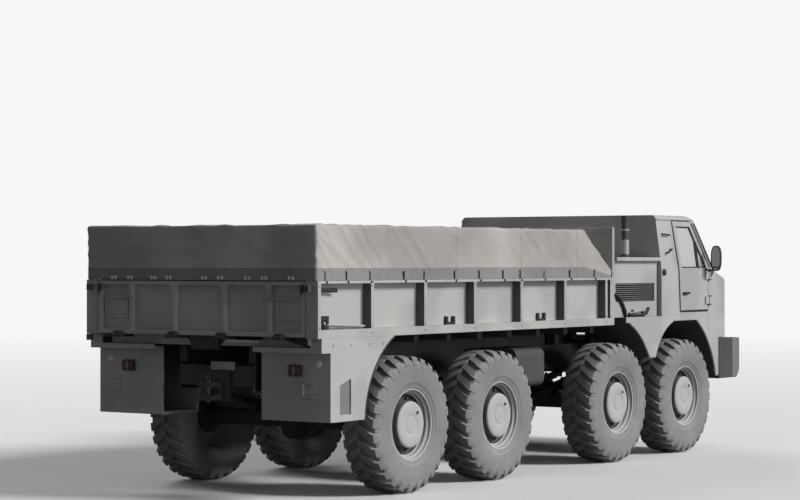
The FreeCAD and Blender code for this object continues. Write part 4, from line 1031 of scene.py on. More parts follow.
class Bodywork:
    """Every pressed, cast or folded piece that keeps the form of its node, with its edges rounded."""

    hooks = (
        # The first zone is painted shade: the ribs' rear-facing faces take the darker painted-shade finish.
        Zone((-4.42, 1.338, 1.652), (1.15, 1.4395, 2.083), Tone.PAINTED_SHADE, rearward=True),
        Zone((-4.396, 1.342, 1.652), (-4.19, 1.402, 1.80), Tone.TRIM),
        Zone((-4.396, 1.342, 1.99), (-4.03, 1.40, 2.045), Tone.TRIM),
        Zone((-2.20, 1.3425, 1.652), (-1.95, 1.42, 1.76), Tone.TRIM),
        Zone((-0.40, 1.3425, 1.652), (-0.14, 1.42, 1.76), Tone.TRIM),
        Zone((-4.60, 1.30, 1.45), (-4.446, 1.42, 2.09)),
    )
    # The louvres take the mid grey as painted shade in their recess.
    vents = Zone((1.30, 1.330, 1.825), (2.31, 1.384, 2.045), Tone.MID_GREY_AND_RECESS_SHADE)
    stack = Zone((1.90, 1.11, 2.342), (2.01, 1.23, 2.84))
    handle = Zone((2.85, 1.441, 1.85), (3.05, 1.50, 1.95), Tone.TRIM)
    pieces = (
        Soften("cab_shell", 0.006, (Zone((3.54, 1.44, 1.70), (3.62, 1.48, 2.20)),)),
        Soften("engine_cover", 0.006, (vents, stack)),
        Soften("front_fenders", 0.006, (Zone((1.0, 0.70, 0.80), (4.2, 1.40, 1.66)),)),
        Soften("bed_sides", 0.005, hooks),
        Soften("headboard", 0.005),
        Soften("tailgate", 0.004, (Zone((-4.53, 0.0, 1.50), (-4.446, 1.3, 1.62)),)),
        # The skirt's step pocket floor takes the mid grey as painted shade in the recess.
        Soften("rear_mudguards", 0.006, (Zone((-4.10, 1.41, 0.838), (-3.91, 1.425, 1.19), Tone.MID_GREY_AND_RECESS_SHADE),)),
        Soften("bumper", 0.012, (Zone((4.235, 1.39, 0.86), (4.60, 1.70, 1.335), Tone.MID_GREY_AND_RECESS_SHADE),), cut_x=4.235),
        Soften("bed_floor", 0.004, (Zone((-4.50, 0.35, 1.50), (-4.28, 0.74, 1.56), Tone.BODY),)),
        Soften("chassis_frame", 0.004),
        Soften("axles", 0.006),
        Soften("drive_shafts", 0.003),
        Soften("transfer_case", 0.016),
        Soften("engine_block", 0.020),
        Soften("fuel_tanks", 0.006),
        Soften("tow_hitch", 0.005),
        Soften("tarp_bows", 0.004, bend=0.024),
        Soften("dashboard", 0.012),
        Soften("steering_wheel", 0.004),
        Soften("front_grille", 0.003),
        Soften("door_left", 0.004, (handle,)),
        Soften("door_right", 0.004, (handle,)),
        *(Soften(f"knuckle_{number}_{word}", 0.005) for number in (1, 2) for word in ("left", "right")),
    )

    def build(self, paints: Paints) -> None:
        """Makes them all."""
        for piece in self.pieces:
            piece.build(paints)


@dataclass(frozen=True)
class Tilt(Assembly):
    """The laced canvas over the bed: one stretched sheet that sags between its bows."""

    rear: float = -4.460
    front: float = 1.157
    half: float = 1.434
    low: float = 2.1125
    top: float = 2.648
    slope_from: float = 0.545
    front_top: float = 2.200
    bow_first: float = -4.405
    bow_last: float = 0.485
    bays: int = 5
    corner: float = 0.032
    inset: float = 0.010
    sag: float = 0.017
    side_sag: float = 0.011
    rear_sag: float = 0.012
    fold_out: float = 0.012
    fold_in: float = 0.018
    seam_half: float = 0.014
    seam_rise: float = 0.0015
    hem_height: float = 0.118
    hem_share: float = 0.215
    hem_rise: float = 0.002
    rows: int = 22
    columns: int = 98
    steps: int = 180
    creases: tuple[Point, ...] = ((1.1, 3.6, 0.013), (-0.8, 5.1, 0.009))
    loops: Point = (-4.306, -3.962, -3.576, -2.996, -2.642, -2.085, -1.62, -1.151, -0.808, -0.32, 0.24, 0.78)
    rear_loops: Point = (1.06, 0.85, 0.55, 0.356, -0.093, -0.288, -0.617, -0.82, -1.14)
    seams: Point = (-3.26, -2.02, -0.78, 0.40)

    @property
    def bow_pitch(self) -> float:
        """The way from one bow to the next."""
        return (self.bow_last - self.bow_first) / self.bays

    def top_at(self, x: float) -> float:
        """Gives the flat height of the canvas at a place along the bed."""
        share = max(0.0, (x - self.slope_from) / (self.front - self.slope_from))
        return self.top + (self.front_top - self.top) * share

    def dip_at(self, x: float) -> float:
        """Gives how far between two bows a place lies: 0 at a bow and 1 midway.

        Args:
            x: The place along the bed.

        Returns:
            The share.
        """
        if x > self.bow_last:
            return 0.35 * math.sin(math.pi * (x - self.bow_last) / (self.front - self.bow_last)) ** 2
        return math.sin(math.pi * max(0.0, x - self.bow_first) / self.bow_pitch) ** 2

    def folds(self, x: float, y: float, rise: float) -> float:
        """Gives how far a point is drawn out by folds near the lacing, by creases and by slow waves.

        Args:
            x: The place along the bed.
            y: The place across it.
            rise: The height over the hem.

        Returns:
            The way out, in metres.
        """
        slow = noise.noise(Vector((x * 1.3, y * 1.3, rise * 2.0))) * 0.009
        fine = noise.noise(Vector((x * 5.0 + 7.0, y * 5.0, rise * 3.0))) * 0.0025
        free = min(1.0, rise / 0.16)
        for slant, pitch, depth in self.creases:
            spot = Vector(((x + slant * rise) * pitch + slant, (rise - slant * x) * 0.6, y * 0.9))
            slow += depth * free * math.exp(-(noise.noise(spot) / 0.085) ** 2)
        pull = sum(math.exp(-((x - loop) / 0.05) ** 2) for loop in self.loops)
        wave = math.sin(x * 46.0 + 3.0 * noise.noise(Vector((x, 3.0, 0.0))))
        return slow + fine + (0.35 * wave - pull) * 0.0055 * math.exp(-rise / 0.16)

    def place(self, x: float, across: float, up: float) -> Vector:
        """Gives a point of the hung canvas.

        Args:
            x: The place along the bed.
            across: From -1 on the right to 1 on the left.
            up: From 0 at the hem to 1 at the top.

        Returns:
            The point, in the truck's frame.
        """
        roof, r = self.top_at(x), self.corner
        flat = Vector((x, across * self.half, self.low + (roof - self.low) * up))
        core = Vector((max(flat.x, self.rear + r), max(-self.half + r, min(self.half - r, flat.y)),
                       min(flat.z, roof - r)))
        out = (flat - core).normalized()
        dip, belly, middle = self.dip_at(x), math.sin(math.pi * up), 1.0 - across ** 4
        sag = self.sag * dip * middle * max(0.0, out.z) + self.side_sag * dip * belly * abs(out.y)
        sag += self.rear_sag * belly * middle * max(0.0, -out.x)
        seam = self.seam_rise if any(abs(x - place) < self.seam_half for place in self.seams) else 0.0
        rise = flat.z - self.low
        hem = self.hem_rise if rise < self.hem_height else 0.0
        fold = self.folds(x, flat.y, rise) * (1.0 if rise > 0.02 else 0.5)
        slack = self.fold_in * min(1.0, 4.0 * dip) - 0.001
        return core + out * (r - self.inset - sag + max(-slack, min(self.fold_out, fold)) + seam + hem)

    def stations(self) -> list[float]:
        """Gives the places along the bed at which the sheet has a row of points.

        Returns:
            The places, from the rear.
        """
        even = [self.rear + (self.front - self.rear) * step / self.steps for step in range(self.steps + 1)]
        edges = [seam + move for seam in self.seams for move in (-0.0155, -0.0135, 0.0135, 0.0155)]
        near = [self.rear + move for move in (0.006, 0.014, 0.024)]
        bows = [self.bow_first + self.bow_pitch * bow + move
                for bow in range(self.bays + 1) for move in (-0.024, 0.0, 0.024)]
        return sorted(even + edges + near + bows)

    def loop_line(self) -> list[tuple[float, float]]:
        """Gives (across, up) along the canvas from the right hem over the top to the left hem.

        Returns:
            The pairs, in order.
        """
        rows = self.rows - 6
        heights = [0.0, 0.10, 0.21, 0.22, *(0.22 + 0.71 * step / rows for step in range(1, rows + 1))]
        heights += [0.96, 0.985]
        edge = [-1.0, -0.9925, -0.985, -0.977]
        inner = [-0.977 + 1.954 * step / self.columns for step in range(1, self.columns)]
        wide = edge + inner + [-value for value in edge[::-1]]
        return [(-1.0, up) for up in heights] + [(across, 1.0) for across in wide] + [
            (1.0, up) for up in heights[::-1]]

    def sheet(self) -> Piece:
        """Makes the canvas: the run over the bows, and the rear wall.

        Returns:
            The canvas.
        """
        bm = bmesh.new()
        line = self.loop_line()
        heights = [up for across, up in line if across == -1.0 and up < 1.0] + [1.0]
        wide = [across for across, up in line if up == 1.0]
        rings = [[bm.verts.new(self.place(x, across, up)) for across, up in line] for x in self.stations()]
        wall = [[bm.verts.new(self.place(self.rear, across, up)) for across in wide] for up in heights]
        # Faces below hem_share, on the run and on the rear wall, take the darker hem cloth: painted shade along
        # the hem.
        for first, second in zip(rings, rings[1:]):
            for *corners, at in zip(first, first[1:], second[1:], second, line):
                bm.faces.new(corners).material_index = int(at[1] < self.hem_share)
        for first, second, height in zip(wall, wall[1:], heights):
            for corners in zip(first, second, second[1:], first[1:]):
                bm.faces.new(corners).material_index = int(height < self.hem_share)
        bmesh.ops.remove_doubles(bm, verts=bm.verts, dist=2e-5)
        bmesh.ops.recalc_face_normals(bm, faces=bm.faces)
        if max(bm.faces, key=lambda part: part.calc_center_median().z).normal.z < 0:
            bmesh.ops.reverse_faces(bm, faces=bm.faces)
        return Shape(bm).piece("tilt.canvas", Slot.CANVAS, [self.paints.canvas, self.paints.band], ["tarp"],
                               smooth=50.0, orient=False)

    def straps(self) -> Piece:
        """Makes the webbing loops, the studs that they are hooked over and the rear wall's pairs of eyelets.

        Returns:
            The piece that holds them all.
        """
        shape = Shape()
        inner, outer = self.half - 0.003, self.half + 0.006
        for shape.side in BOTH:
            for x in self.loops:
                shape.box((x - 0.016, inner, 2.088), (x + 0.016, outer, 2.196), 0.002)
                shape.box((x - 0.022, inner, 2.192), (x + 0.022, outer, 2.206), 0.003)
                shape.rod((x, 1.438, 2.094), (x, 1.452, 2.094), 0.008, 12, material=1)
        for y in self.rear_loops:
            for spot in (y - 0.022, y + 0.022):
                ring = circle_points((self.rear - 0.005, spot, 2.135), (0, 0, 0.014), (0, 0.011, 0), 14)
                shape.tube(ring, 0.0055, 6, closed=True, material=2)
        materials = [self.paints.band, self.paints.steel, self.paints.eyelet]
        return shape.piece("tilt.straps", Slot.CANVAS, materials)

    def build(self) -> None:
        """Makes the canvas with its straps."""
        canvas, straps = self.sheet(), self.straps()


def islands(bm: BMesh) -> list[list[Face]]:
    """Lists the separate solids of a mesh.

    Args:
        bm: The mesh.

    Returns:
        The faces of each solid, in the order of the solids' middles.
    """
    left, found = set(bm.faces), []
    while left:
        island = [left.pop()]
        for part in island:
            near = dict.fromkeys(other for line in part.edges for other in line.link_faces if other in left)
            left.difference_update(near)
            island.extend(near)
        found.append(island)
    return sorted(found, key=island_key)


def island_key(island: Iterable[Face]) -> tuple[float, ...]:
    """Gives the middle of a solid's corners, by which solids are put in order."""
    spots = [vert.co for part in island for vert in part.verts]
    return tuple(round(value, 4) for value in sum(spots, Vector((0, 0, 0))) / len(spots))


def densified(line: Sequence[Vector], share: float = 0.5, most: float = 0.012) -> list[Vector]:
    """Adds a point on each side of every corner of a loop, so that a tube turns tightly there.

    Args:
        line: The loop's corners.
        share: How much of a run the new points may take.
        most: How far from the corner they lie at most.

    Returns:
        The new loop.
    """
    points = []
    for before, here, after in zip([line[-1], *line[:-1]], line, [*line[1:], line[0]]):
        first, last = (here + (other - here).normalized() * min(most, (other - here).length * share)
                       for other in (before, after))
        points += [first, (first + last) * 0.25 + here * 0.5, last]
    return points


@dataclass(frozen=True)
class Cushion(Assembly):
    """A crowned cushion whose sides draw in between its corners, with sewn channels."""

    name: str
    low: Point
    high: Point
    lean: float
    cuts: int = 30
    squareness: float = 0.9
    ball_share: float = 0.14
    crown: float = 0.30
    draw_in: float = 0.035
    channels: float = 3.0
    channel_depth: float = 0.11
    channel_half: float = 0.07
    flat_rim: float = 0.86

    def shaped(self, unit: Vector, size: Vector) -> Vector:
        """Moves a point of the unit cube to its place on the cushion.

        Args:
            unit: The point, each part from -1 to 1.
            size: Half the cushion's size.

        Returns:
            The place, from the cushion's middle.
        """
        thin = min(range(3), key=lambda axis: size[axis])
        wide = [axis for axis in range(3) if axis != thin]
        soft = Vector([math.copysign(abs(value) ** self.squareness, value) for value in unit])
        ball = unit.normalized() * max(abs(value) for value in unit)
        spot = soft * (1.0 - self.ball_share) + ball * self.ball_share
        rim = max(abs(unit[axis]) for axis in wide)
        channel = 0.0
        if abs(unit[thin]) > 0.99 and rim < self.flat_rim:
            way = (unit.y * self.channels) % 1.0 - 0.5
            channel = self.channel_depth * math.exp(-(way / self.channel_half) ** 2)
        spot[thin] *= (1.0 - self.crown * rim ** 4) * (1.0 - channel)
        for axis, other in (wide, wide[::-1]):
            spot[axis] *= 1.0 - self.draw_in * (1.0 - unit[other] ** 2) * abs(unit[axis]) ** 3
        spot = spot * size
        spot.x -= self.lean * (unit.z + 1.0)
        return spot

    def build(self) -> Piece:
        """Makes the cushion.

        Returns:
            The cushion.
        """
        shape = Shape()
        bmesh.ops.create_cube(shape.bm, size=2.0)
        bmesh.ops.subdivide_edges(shape.bm, edges=shape.bm.edges[:], cuts=self.cuts, use_grid_fill=True)
        size, middle = (Vector(self.high) - Vector(self.low)) / 2, (Vector(self.high) + Vector(self.low)) / 2
        for vert in shape.bm.verts:
            vert.co = middle + self.shaped(vert.co, size)
        return shape.piece(self.name, Slot.SEAT, [self.paints.seat], smooth=180.0)


@dataclass(frozen=True)
class CabTrim(Assembly):
    """Window rubbers, mirrors, wipers, rails, seats and lamps of the cab."""

    half: float = 1.44
    shoulder_z: float = 2.2
    lean_height: float = 0.64
    lean_in: float = 0.088
    inside: Point = (3.1, 0.0, 2.3)
    screen_foot: Point = (3.735, 0.0, 2.17)
    screen_up: Point = (-0.549, 0.0, 0.836)
    screen_out: Point = (0.836, 0.0, 0.549)
    rubber_radius: float = 0.011
    mirror_middle: Point = (3.510, 1.580, 2.330)
    mirror_half: float = 0.068
    mirror_tall: float = 0.154
    mirror_profile: Outline = ((-0.020, 0.80), (-0.025, 0.83), (-0.025, 0.95), (-0.018, 1.0), (0.004, 1.0),
                               (0.016, 0.92), (0.023, 0.72), (0.025, 0.40))
    mirror_arm: tuple[Point, ...] = ((3.505, 1.444, 2.185), (3.505, 1.50, 2.185), (3.505, 1.535, 2.190),
                                     (3.507, 1.545, 2.215))
    rails: tuple[Outline, ...] = (((2.455, 2.615), (2.60, 2.605)), ((2.495, 2.390), (2.62, 2.437)))
    knob: Outline = ((0.040, 0.0), (0.040, 0.012), (0.034, 0.020), (0.018, 0.026), (AXIS_EDGE, 0.027))
    shackle_y: float = 0.455
    shackle: Outline = ((4.360, 0.870), (4.362, 0.805), (4.390, 0.777), (4.420, 0.787), (4.432, 0.820),
                        (4.434, 0.940))
    seams: tuple[Outline, ...] = (((2.823, 1.705), (2.786, 2.20), (2.743, 2.775)),
                                  ((2.823, 1.692), (3.55, 1.692)))
    lamp_rim: Outline = ((AXIS_EDGE, 0.0), (0.100, 0.0), (0.104, 0.012), (0.104, 0.048), (0.100, 0.056),
                         (0.090, 0.056), (0.086, 0.048))
    lamp_lens: Outline = ((0.087, 0.048), (0.070, 0.057), (0.045, 0.064), (0.020, 0.067), (AXIS_EDGE, 0.068))
    seat_y: float = 0.82
    dial_back: Point = (-0.986, 0, 0.164)
    dials_at: Outline = ((0.98, 0.045), (0.86, 0.055), (0.73, 0.055), (0.62, 0.040), (-0.30, 0.035))

    def wall(self, z: float) -> float:
        """Gives how far out the cab's side lies at a height; it leans in above the shoulder."""
        return self.half - max(0.0, z - self.shoulder_z) / self.lean_height * self.lean_in

    def skin(self, line: Outline) -> list[Point]:
        """Gives points one millimetre within the cab's side from their x and z."""
        return [(x, self.wall(z) - 0.001, z) for x, z in line]

    def window_rubbers(self, node: str, body: str) -> None:
        """Runs a rubber strip round each pane of a glass node.

        Args:
            node: The glass node.
            body: The body that it rides on.
        """
        panes, strips, middle = merged_copy(node), Shape(), Vector(self.inside)
        for island in islands(panes):
            outward = [part for part in island if part.normal.dot(part.calc_center_median() - middle) > 0]
            face = max(outward, key=lambda part: part.calc_area())
            centre, lift = face.calc_center_median(), face.normal * 0.004
            line = [vert.co + (centre - vert.co).normalized() * 0.004 + lift for vert in face.verts]
            strips.tube(densified(line), self.rubber_radius, closed=True)
        panes.free()
        strips.piece(f"{node}.rubber", Slot.TRIM, [self.paints.trim], body=body, smooth=50.0)

    def mirror(self, word: str) -> None:
        """Makes a mirror with an oval head, a rounded back and a tube arm.

        Args:
            word: "left" or "right".
        """
        shape, sections = Shape(), []
        shape.side = SIDES[word]
        for along, share in self.mirror_profile:
            wide, tall = self.mirror_half * share, self.mirror_tall - self.mirror_half * (1 - share)
            turns = [(math.sin(FULL_TURN * step / 40), math.cos(FULL_TURN * step / 40)) for step in range(40)]
            sections.append([Vector(self.mirror_middle) + Vector((
                along, math.copysign(abs(y) ** 0.72, y) * wide, math.copysign(abs(z) ** 0.72, z) * tall))
                for y, z in turns])
        shape.loft(sections)[0].material_index = 1
        shape.tube(self.mirror_arm, 0.009, 10)
        shape.box((3.486, 1.441, 2.176), (3.524, 1.450, 2.214), 0.003)
        shape.piece(f"mirror.{word}", Slot.TRIM, [self.paints.trim, self.paints.mirror], [f"mirror_{word}"],
                    f"door_{word}", smooth=45.0)

    def wiper(self, shape: Shape) -> None:
        """Adds a wiper's spindle, arm and blade.

        Args:
            shape: The mesh that it goes into.
        """
        up, out = Vector(self.screen_up), Vector(self.screen_out)
        base = Vector(self.screen_foot) + up * 0.03 + Vector((0, 0.42, 0))
        elbow = base + up * 0.15 + Vector((0, 0.085, 0)) + out * 0.032
        tip = base + up * 0.36 + Vector((0, 0.20, 0)) + out * 0.020
        blade = Vector((0, 0.10, 0)) + up * 0.24
        shape.rod(base - out * 0.004, base + out * 0.026, 0.016, 14)
        shape.tube([base + out * 0.02, elbow, tip], 0.005)
        shape.tube([tip - blade - out * 0.006, tip + blade * 0.3 - out * 0.006], 0.006, 6)

    def outside(self) -> None:
        """Adds wipers, rails, gutters, a side knob, the front marker lamps, bolts and the towing shackles."""
        shape, gutters = Shape(), Shape()
        for shape.side in BOTH:
            self.wiper(shape)
            for rail in self.rails:
                first, last = (Vector((x, self.wall(z), z)) for x, z in rail)
                reach = Vector((0, 0.035, 0))
                shape.tube([first, first + reach, last + reach, last], 0.009, 10)
            shape.spin(self.knob, (2.41, self.half - 0.001, 2.165), OUT, 24)
            shape.box((4.08, 1.20, 1.62), (4.118, 1.31, 1.70), 0.008, 2)
            shape.box((4.114, 1.21, 1.63), (4.124, 1.30, 1.69), 0.004, 2, material=1)
            for y in (0.30, 0.62, 1.34):
                for z in (1.05, 1.28):
                    shape.rod((4.508, y, z), (4.5145, y, z), 0.016, 6)
            shape.tube([(x, self.shackle_y, z) for x, z in self.shackle], 0.016, 12)
        shape.piece("cab.fittings", Slot.TRIM, [self.paints.trim, self.paints.lens])
        for gutters.side in BOTH:
            gutters.box((2.358, 1.348, 2.785), (3.300, 1.372, 2.799), 0.004, 2)
        gutters.piece("cab.gutters", Slot.BODY, [self.paints.body])

    def seals(self) -> None:
        """Lays the dark doorway seal, the screen pillar's strips and the bar between the door's two panes."""
        for word, side in SIDES.items():
            shell, door = Shape(), Shape()
            shell.side = door.side = side
            for line in self.seams:
                shell.strip(self.skin(line), 0.009)
            for foot, head, half, material in ((3.594, 3.245, 0.010, 0), (3.622, 3.283, 0.020, 1),
                                               (3.672, 3.318, 0.019, 0)):
                shell.strip(self.skin(((foot, 2.215), (head, 2.752))), half, material=material)
            door.strip(self.skin(((3.315, 2.205), (3.315, 2.532))), 0.013)
            materials = [self.paints.trim, self.paints.mid_grey_and_recess_shade]
            shell.piece(f"cab.seals_{word}", Slot.TRIM, materials)
            door.piece(f"door.pane_bar_{word}", Slot.TRIM, materials, body=f"door_{word}")

    def headlamps(self) -> None:
        """Makes the two headlamps with their rims and guard bars."""
        shape = Shape()
        for shape.side in BOTH:
            x, y, z = base = (4.445, 1.08, 1.16)
            shape.spin(self.lamp_rim, base, AHEAD, 40, material=1)
            shape.spin(self.lamp_lens, base, AHEAD, 40)
            for bar_z in (z - 0.035, z + 0.035):
                shape.rod((x + 0.064, y - 0.095, bar_z), (x + 0.064, y + 0.095, bar_z), 0.004, 8, material=1)
        shape.piece("headlamps.round", Slot.LAMP, [self.paints.lens, self.paints.trim], ["headlamps"])

    def seats(self) -> None:
        """Makes two seats: a steel base, a crowned cushion and a back, each sewn in channels."""
        base = Shape()
        for word in ("right", "left"):
            y = SIDES[word] * self.seat_y
            base.box((2.53, y - 0.21, 1.702), (2.96, y + 0.21, 1.925), 0.012, 2)
            for edge in (y - 0.215, y + 0.215):
                base.rod((2.56, edge, 1.72), (2.94, edge, 1.72), 0.012, 10)
            for name, low, high, lean in (
                    ("cushion", (2.470, y - 0.248, 1.925), (3.022, y + 0.248, 2.040), 0.0),
                    ("back", (2.468, y - 0.246, 2.045), (2.590, y + 0.246, 2.598), 0.010)):
                pad = Cushion(self.paints, f"cab_pad.{name}.{word}", low, high, lean).build()
        base.piece("cab_pad.bases", Slot.SEAT, [self.paints.gear], ["seats"])

    def dials(self) -> None:
        """Sets blank round dials and a row of knobs on the dashboard."""
        shape, back = Shape(), Vector(self.dial_back).normalized()
        for y, radius in self.dials_at:
            profile = [(radius, -0.004), (radius, 0.006), (radius - 0.006, 0.008), (radius - 0.009, 0.003),
                       (AXIS_EDGE, 0.003)]
            shape.spin(profile, (3.671, y, 2.045), back, 24, material=1)
        for place in range(6):
            y = 0.45 - 0.09 * place
            shape.rod((3.664, y, 2.02), (3.644, y, 2.023), 0.010, 10)
        shape.piece("dashboard.dials", Slot.TRIM, [self.paints.trim, self.paints.steel])

    def build(self) -> None:
        """Makes all the trim."""
        self.window_rubbers("cab_glass", ROOT)
        for word in SIDES:
            self.window_rubbers(f"door_glass_{word}", f"door_{word}")
            self.mirror(word)
        self.outside()
        self.seals()
        self.headlamps()
        self.seats()
        self.dials()


@dataclass(frozen=True)
class Fittings(Assembly):
    """Bolts, lamps, lips, latches and small brackets outside the cab."""

    skin_y: float = 1.439
    ribs: Point = (-4.445, -3.585, -2.667, -1.749, -0.831, 0.087, 1.005, 1.115)
    lip_radius: float = 0.014
    arches: tuple[Outline, ...] = (((2.075, 1.170), (1.845, 1.430), (1.585, 1.585)),
                                   ((2.645, 1.585), (2.385, 1.440), (2.195, 1.170)),
                                   ((3.275, 1.585), (3.595, 1.300), (3.785, 0.890)))
    skirt_arch: Outline = ((-3.175, 1.568), (-3.495, 1.300), (-3.685, 0.780))
    pipe: Outline = ((1.312, 1.912), (1.470, 1.800), (1.552, 1.640))
    stowed_bar: Outline = ((1.62, 1.672), (1.98, 1.672), (2.04, 1.690), (2.09, 1.750))
    stack_foot: Point = (1.955, -1.17, 2.341)
    stack_flange: Outline = ((0.075, 0.0), (0.075, 0.010), (0.050, 0.014), (0.046, 0.022), (0.046, 0.05))
    stack_cap: Outline = ((0.043, 0.43), (0.047, 0.434), (0.047, 0.486), (0.040, 0.489), (0.034, 0.486),
                          (0.034, 0.44))
    marker: Outline = ((0.034, 0.0), (0.034, 0.010), (0.028, 0.014), (AXIS_EDGE, 0.016))
    pin: Outline = ((AXIS_EDGE, 0.0), (0.018, 0.0), (0.0235, 0.008), (0.0235, 0.195), (0.034, 0.197),
                    (0.034, 0.209), (0.0235, 0.212), (0.010, 0.222), (AXIS_EDGE, 0.223))

    def bolts(self) -> None:
        """Sets hexagon bolts along the bed's ribs and sill, the skirts and the headboard."""
        shape = Shape()
        spots = [(x + 0.025, z) for x in self.ribs for z in (1.675, 2.060)]
        spots += [(x + 0.025, 1.610) for x in self.ribs[1:-1]]
        spots += [(x, 1.50) for x in (-4.20, -3.90, -3.60, -3.38)]
        for shape.side in BOTH:
            for x, z in spots:
                for out, radius, sides in ((0.007, 0.011, 6), (0.002, 0.016, 14)):
                    shape.rod((x, self.skin_y, z), (x, self.skin_y + out, z), radius, sides)
            for z in (2.20, 2.38, 2.56):
                shape.rod((1.164, 1.41, z), (1.158, 1.41, z), 0.011, 6)
        shape.piece("body.bolts", Slot.BODY, [self.paints.body])

    def latches(self) -> None:
        """Adds the pivot and lever of each upper side latch, and the ring and link of each lower one."""
        shape = Shape()
        for shape.side in BOTH:
            shape.rod((-4.372, 1.345, 2.034), (-4.372, 1.418, 2.034), 0.024, 20)
            shape.rod((-4.366, 1.398, 2.030), (-4.080, 1.392, 2.008), 0.014, 12, end_radius=0.010)
            ring = circle_points((-4.300, 1.408, 1.712), (0.036, 0, 0), (0, 0, 0.036), 24)
            shape.tube(ring, 0.010, closed=True)
            shape.rod((-4.300, 1.385, 1.712), (-4.300, 1.414, 1.712), 0.014, 16, material=1)
            shape.rod((-4.262, 1.402, 1.700), (-3.640, 1.388, 1.672), 0.008, 10, material=1)
        shape.piece("bed_sides.latches", Slot.BODY, [self.paints.trim, self.paints.body])

    def lips(self) -> None:
        """Rolls a lip round each wheel arch and a rubber strip round each rear skirt's arch."""
        for name, y, arches, slot, material in (
                ("fender.lips", 1.430, self.arches, Slot.BODY, self.paints.body),
                ("skirt.strips", 1.432, (self.skirt_arch,), Slot.TRIM, self.paints.trim)):
            shape = Shape()
            for shape.side in BOTH:
                for arch in arches:
                    shape.tube(arc_points(*((x, y, z) for x, z in arch), 20), self.lip_radius)
            shape.piece(name, slot, [material], smooth=60.0)

    def cover(self) -> None:
        """Dresses the engine cover: lid catches, an air pipe and a stowed bar."""
        shape = Shape()
        bend = arc_points(*((x, 1.404, z) for x, z in self.pipe), 14)
        for shape.side in BOTH:
            shape.tube([(1.300, 1.384, 1.914), *bend], 0.019, 14)
            for place in (3, 10):
                shape.tube(bend[place:place + 2], 0.023, 14)
            for x in (1.72, 1.96):
                shape.box((x - 0.012, 1.384, 1.655), (x + 0.012, 1.412, 1.735), 0.003)
            shape.tube([(x, 1.408, z) for x, z in self.stowed_bar], 0.017, 12)
            shape.rod((1.64, 1.404, 1.700), (2.02, 1.404, 1.728), 0.010, 10, material=1)
        shape.piece("engine_cover.fittings", Slot.TRIM, [self.paints.trim, self.paints.body])

    def stack(self) -> None:
        """Adds the exhaust stack's flange, cap and two light bands; the lower, longer band is a sleeve whose light
        paint is also a painted highlight.
        """
        shape = Shape()
        for profile in (self.stack_flange, self.stack_cap):
            shape.spin(profile, self.stack_foot, UP, 32)
        # The lower band is a light sleeve that also paints a highlight on the dark stack.
        for low, high in ((0.034, 0.205), (0.31, 0.33)):
            band = [(0.0425, low), (0.0465, low + 0.002), (0.0465, high - 0.002), (0.0425, high)]
            shape.spin(band, self.stack_foot, UP, 32, material=1)
        shape.piece("engine_cover.stack_trim", Slot.BODY, [self.paints.gear, self.paints.body])

    def rear(self) -> None:
        """Dresses the tail: lamps with three lenses, round markers, a blank plate and the hitch's pin."""
        lamps, plate, hitch, paints = Shape(), Shape(), Shape(), self.paints
        for side in BOTH:
            inner = min(side * 0.967, side * 1.113)
            lamps.box((-4.285, inner, 1.207), (-4.246, inner + 0.146, 1.313), 0.010, 3)
            for place, material in enumerate((1, 3, 1)):
                start = inner + 0.008 + 0.0445 * place
                lamps.box((-4.300, start, 1.218), (-4.280, start + 0.040, 1.302), 0.006, 2, material)
            lamps.spin(self.marker, (-4.244, side * 1.30, 1.325), BACK, 28, material=2)
        lamps.piece("tail_lamps.cased", Slot.LAMP, [paints.trim, paints.red_lens, paints.lens, paints.mid_grey_and_recess_shade],
                    ["tail_lamps"])
        plate.box((-4.158, -0.225, 1.235), (-4.148, 0.075, 1.318), 0.003, 2)
        plate.piece("rear.blank_plate", Slot.BODY, [self.paints.body])
        hitch.spin(self.pin, (-4.285, 0.0, 0.925), UP, 28)
        hitch.tube(circle_points((-4.285, 0.0, 1.160), (0.026, 0, 0), (0, 0, 0.026), 20), 0.004, closed=True)
        for y in (-0.14, 0.14):
            for z in (0.98, 1.18):
                hitch.rod((-4.174, y, z), (-4.186, y, z), 0.014, 6)
        hitch.piece("tow_hitch.pin", Slot.GEAR, [self.paints.steel])

    def gate(self) -> None:
        """Sets catches on the tailgate's ends and nuts on its hinge leaves."""
        shape = Shape()
        for shape.side in BOTH:
            for y in (0.275, 0.325, 0.975, 1.025):
                shape.rod((-4.444, y, 1.592), (-4.451, y, 1.592), 0.009, 6)
            shape.box((-4.462, 1.235, 2.00), (-4.442, 1.285, 2.075), 0.004, 2)
            shape.tube([(-4.452, 1.260, 2.02), (-4.474, 1.260, 2.00), (-4.474, 1.260, 1.96)], 0.007)
            shape.rod((-4.455, 0.77, 1.943), (-4.455, 1.10, 1.943), 0.008, 10, material=1)
        shape.piece("tailgate.catches", Slot.BODY, [self.paints.gear, self.paints.body], body="tailgate")

    def build(self) -> None:
        """Makes them all."""
        self.bolts()
        self.latches()
        self.lips()
        self.cover()
        self.stack()
        self.rear()
        self.gate()


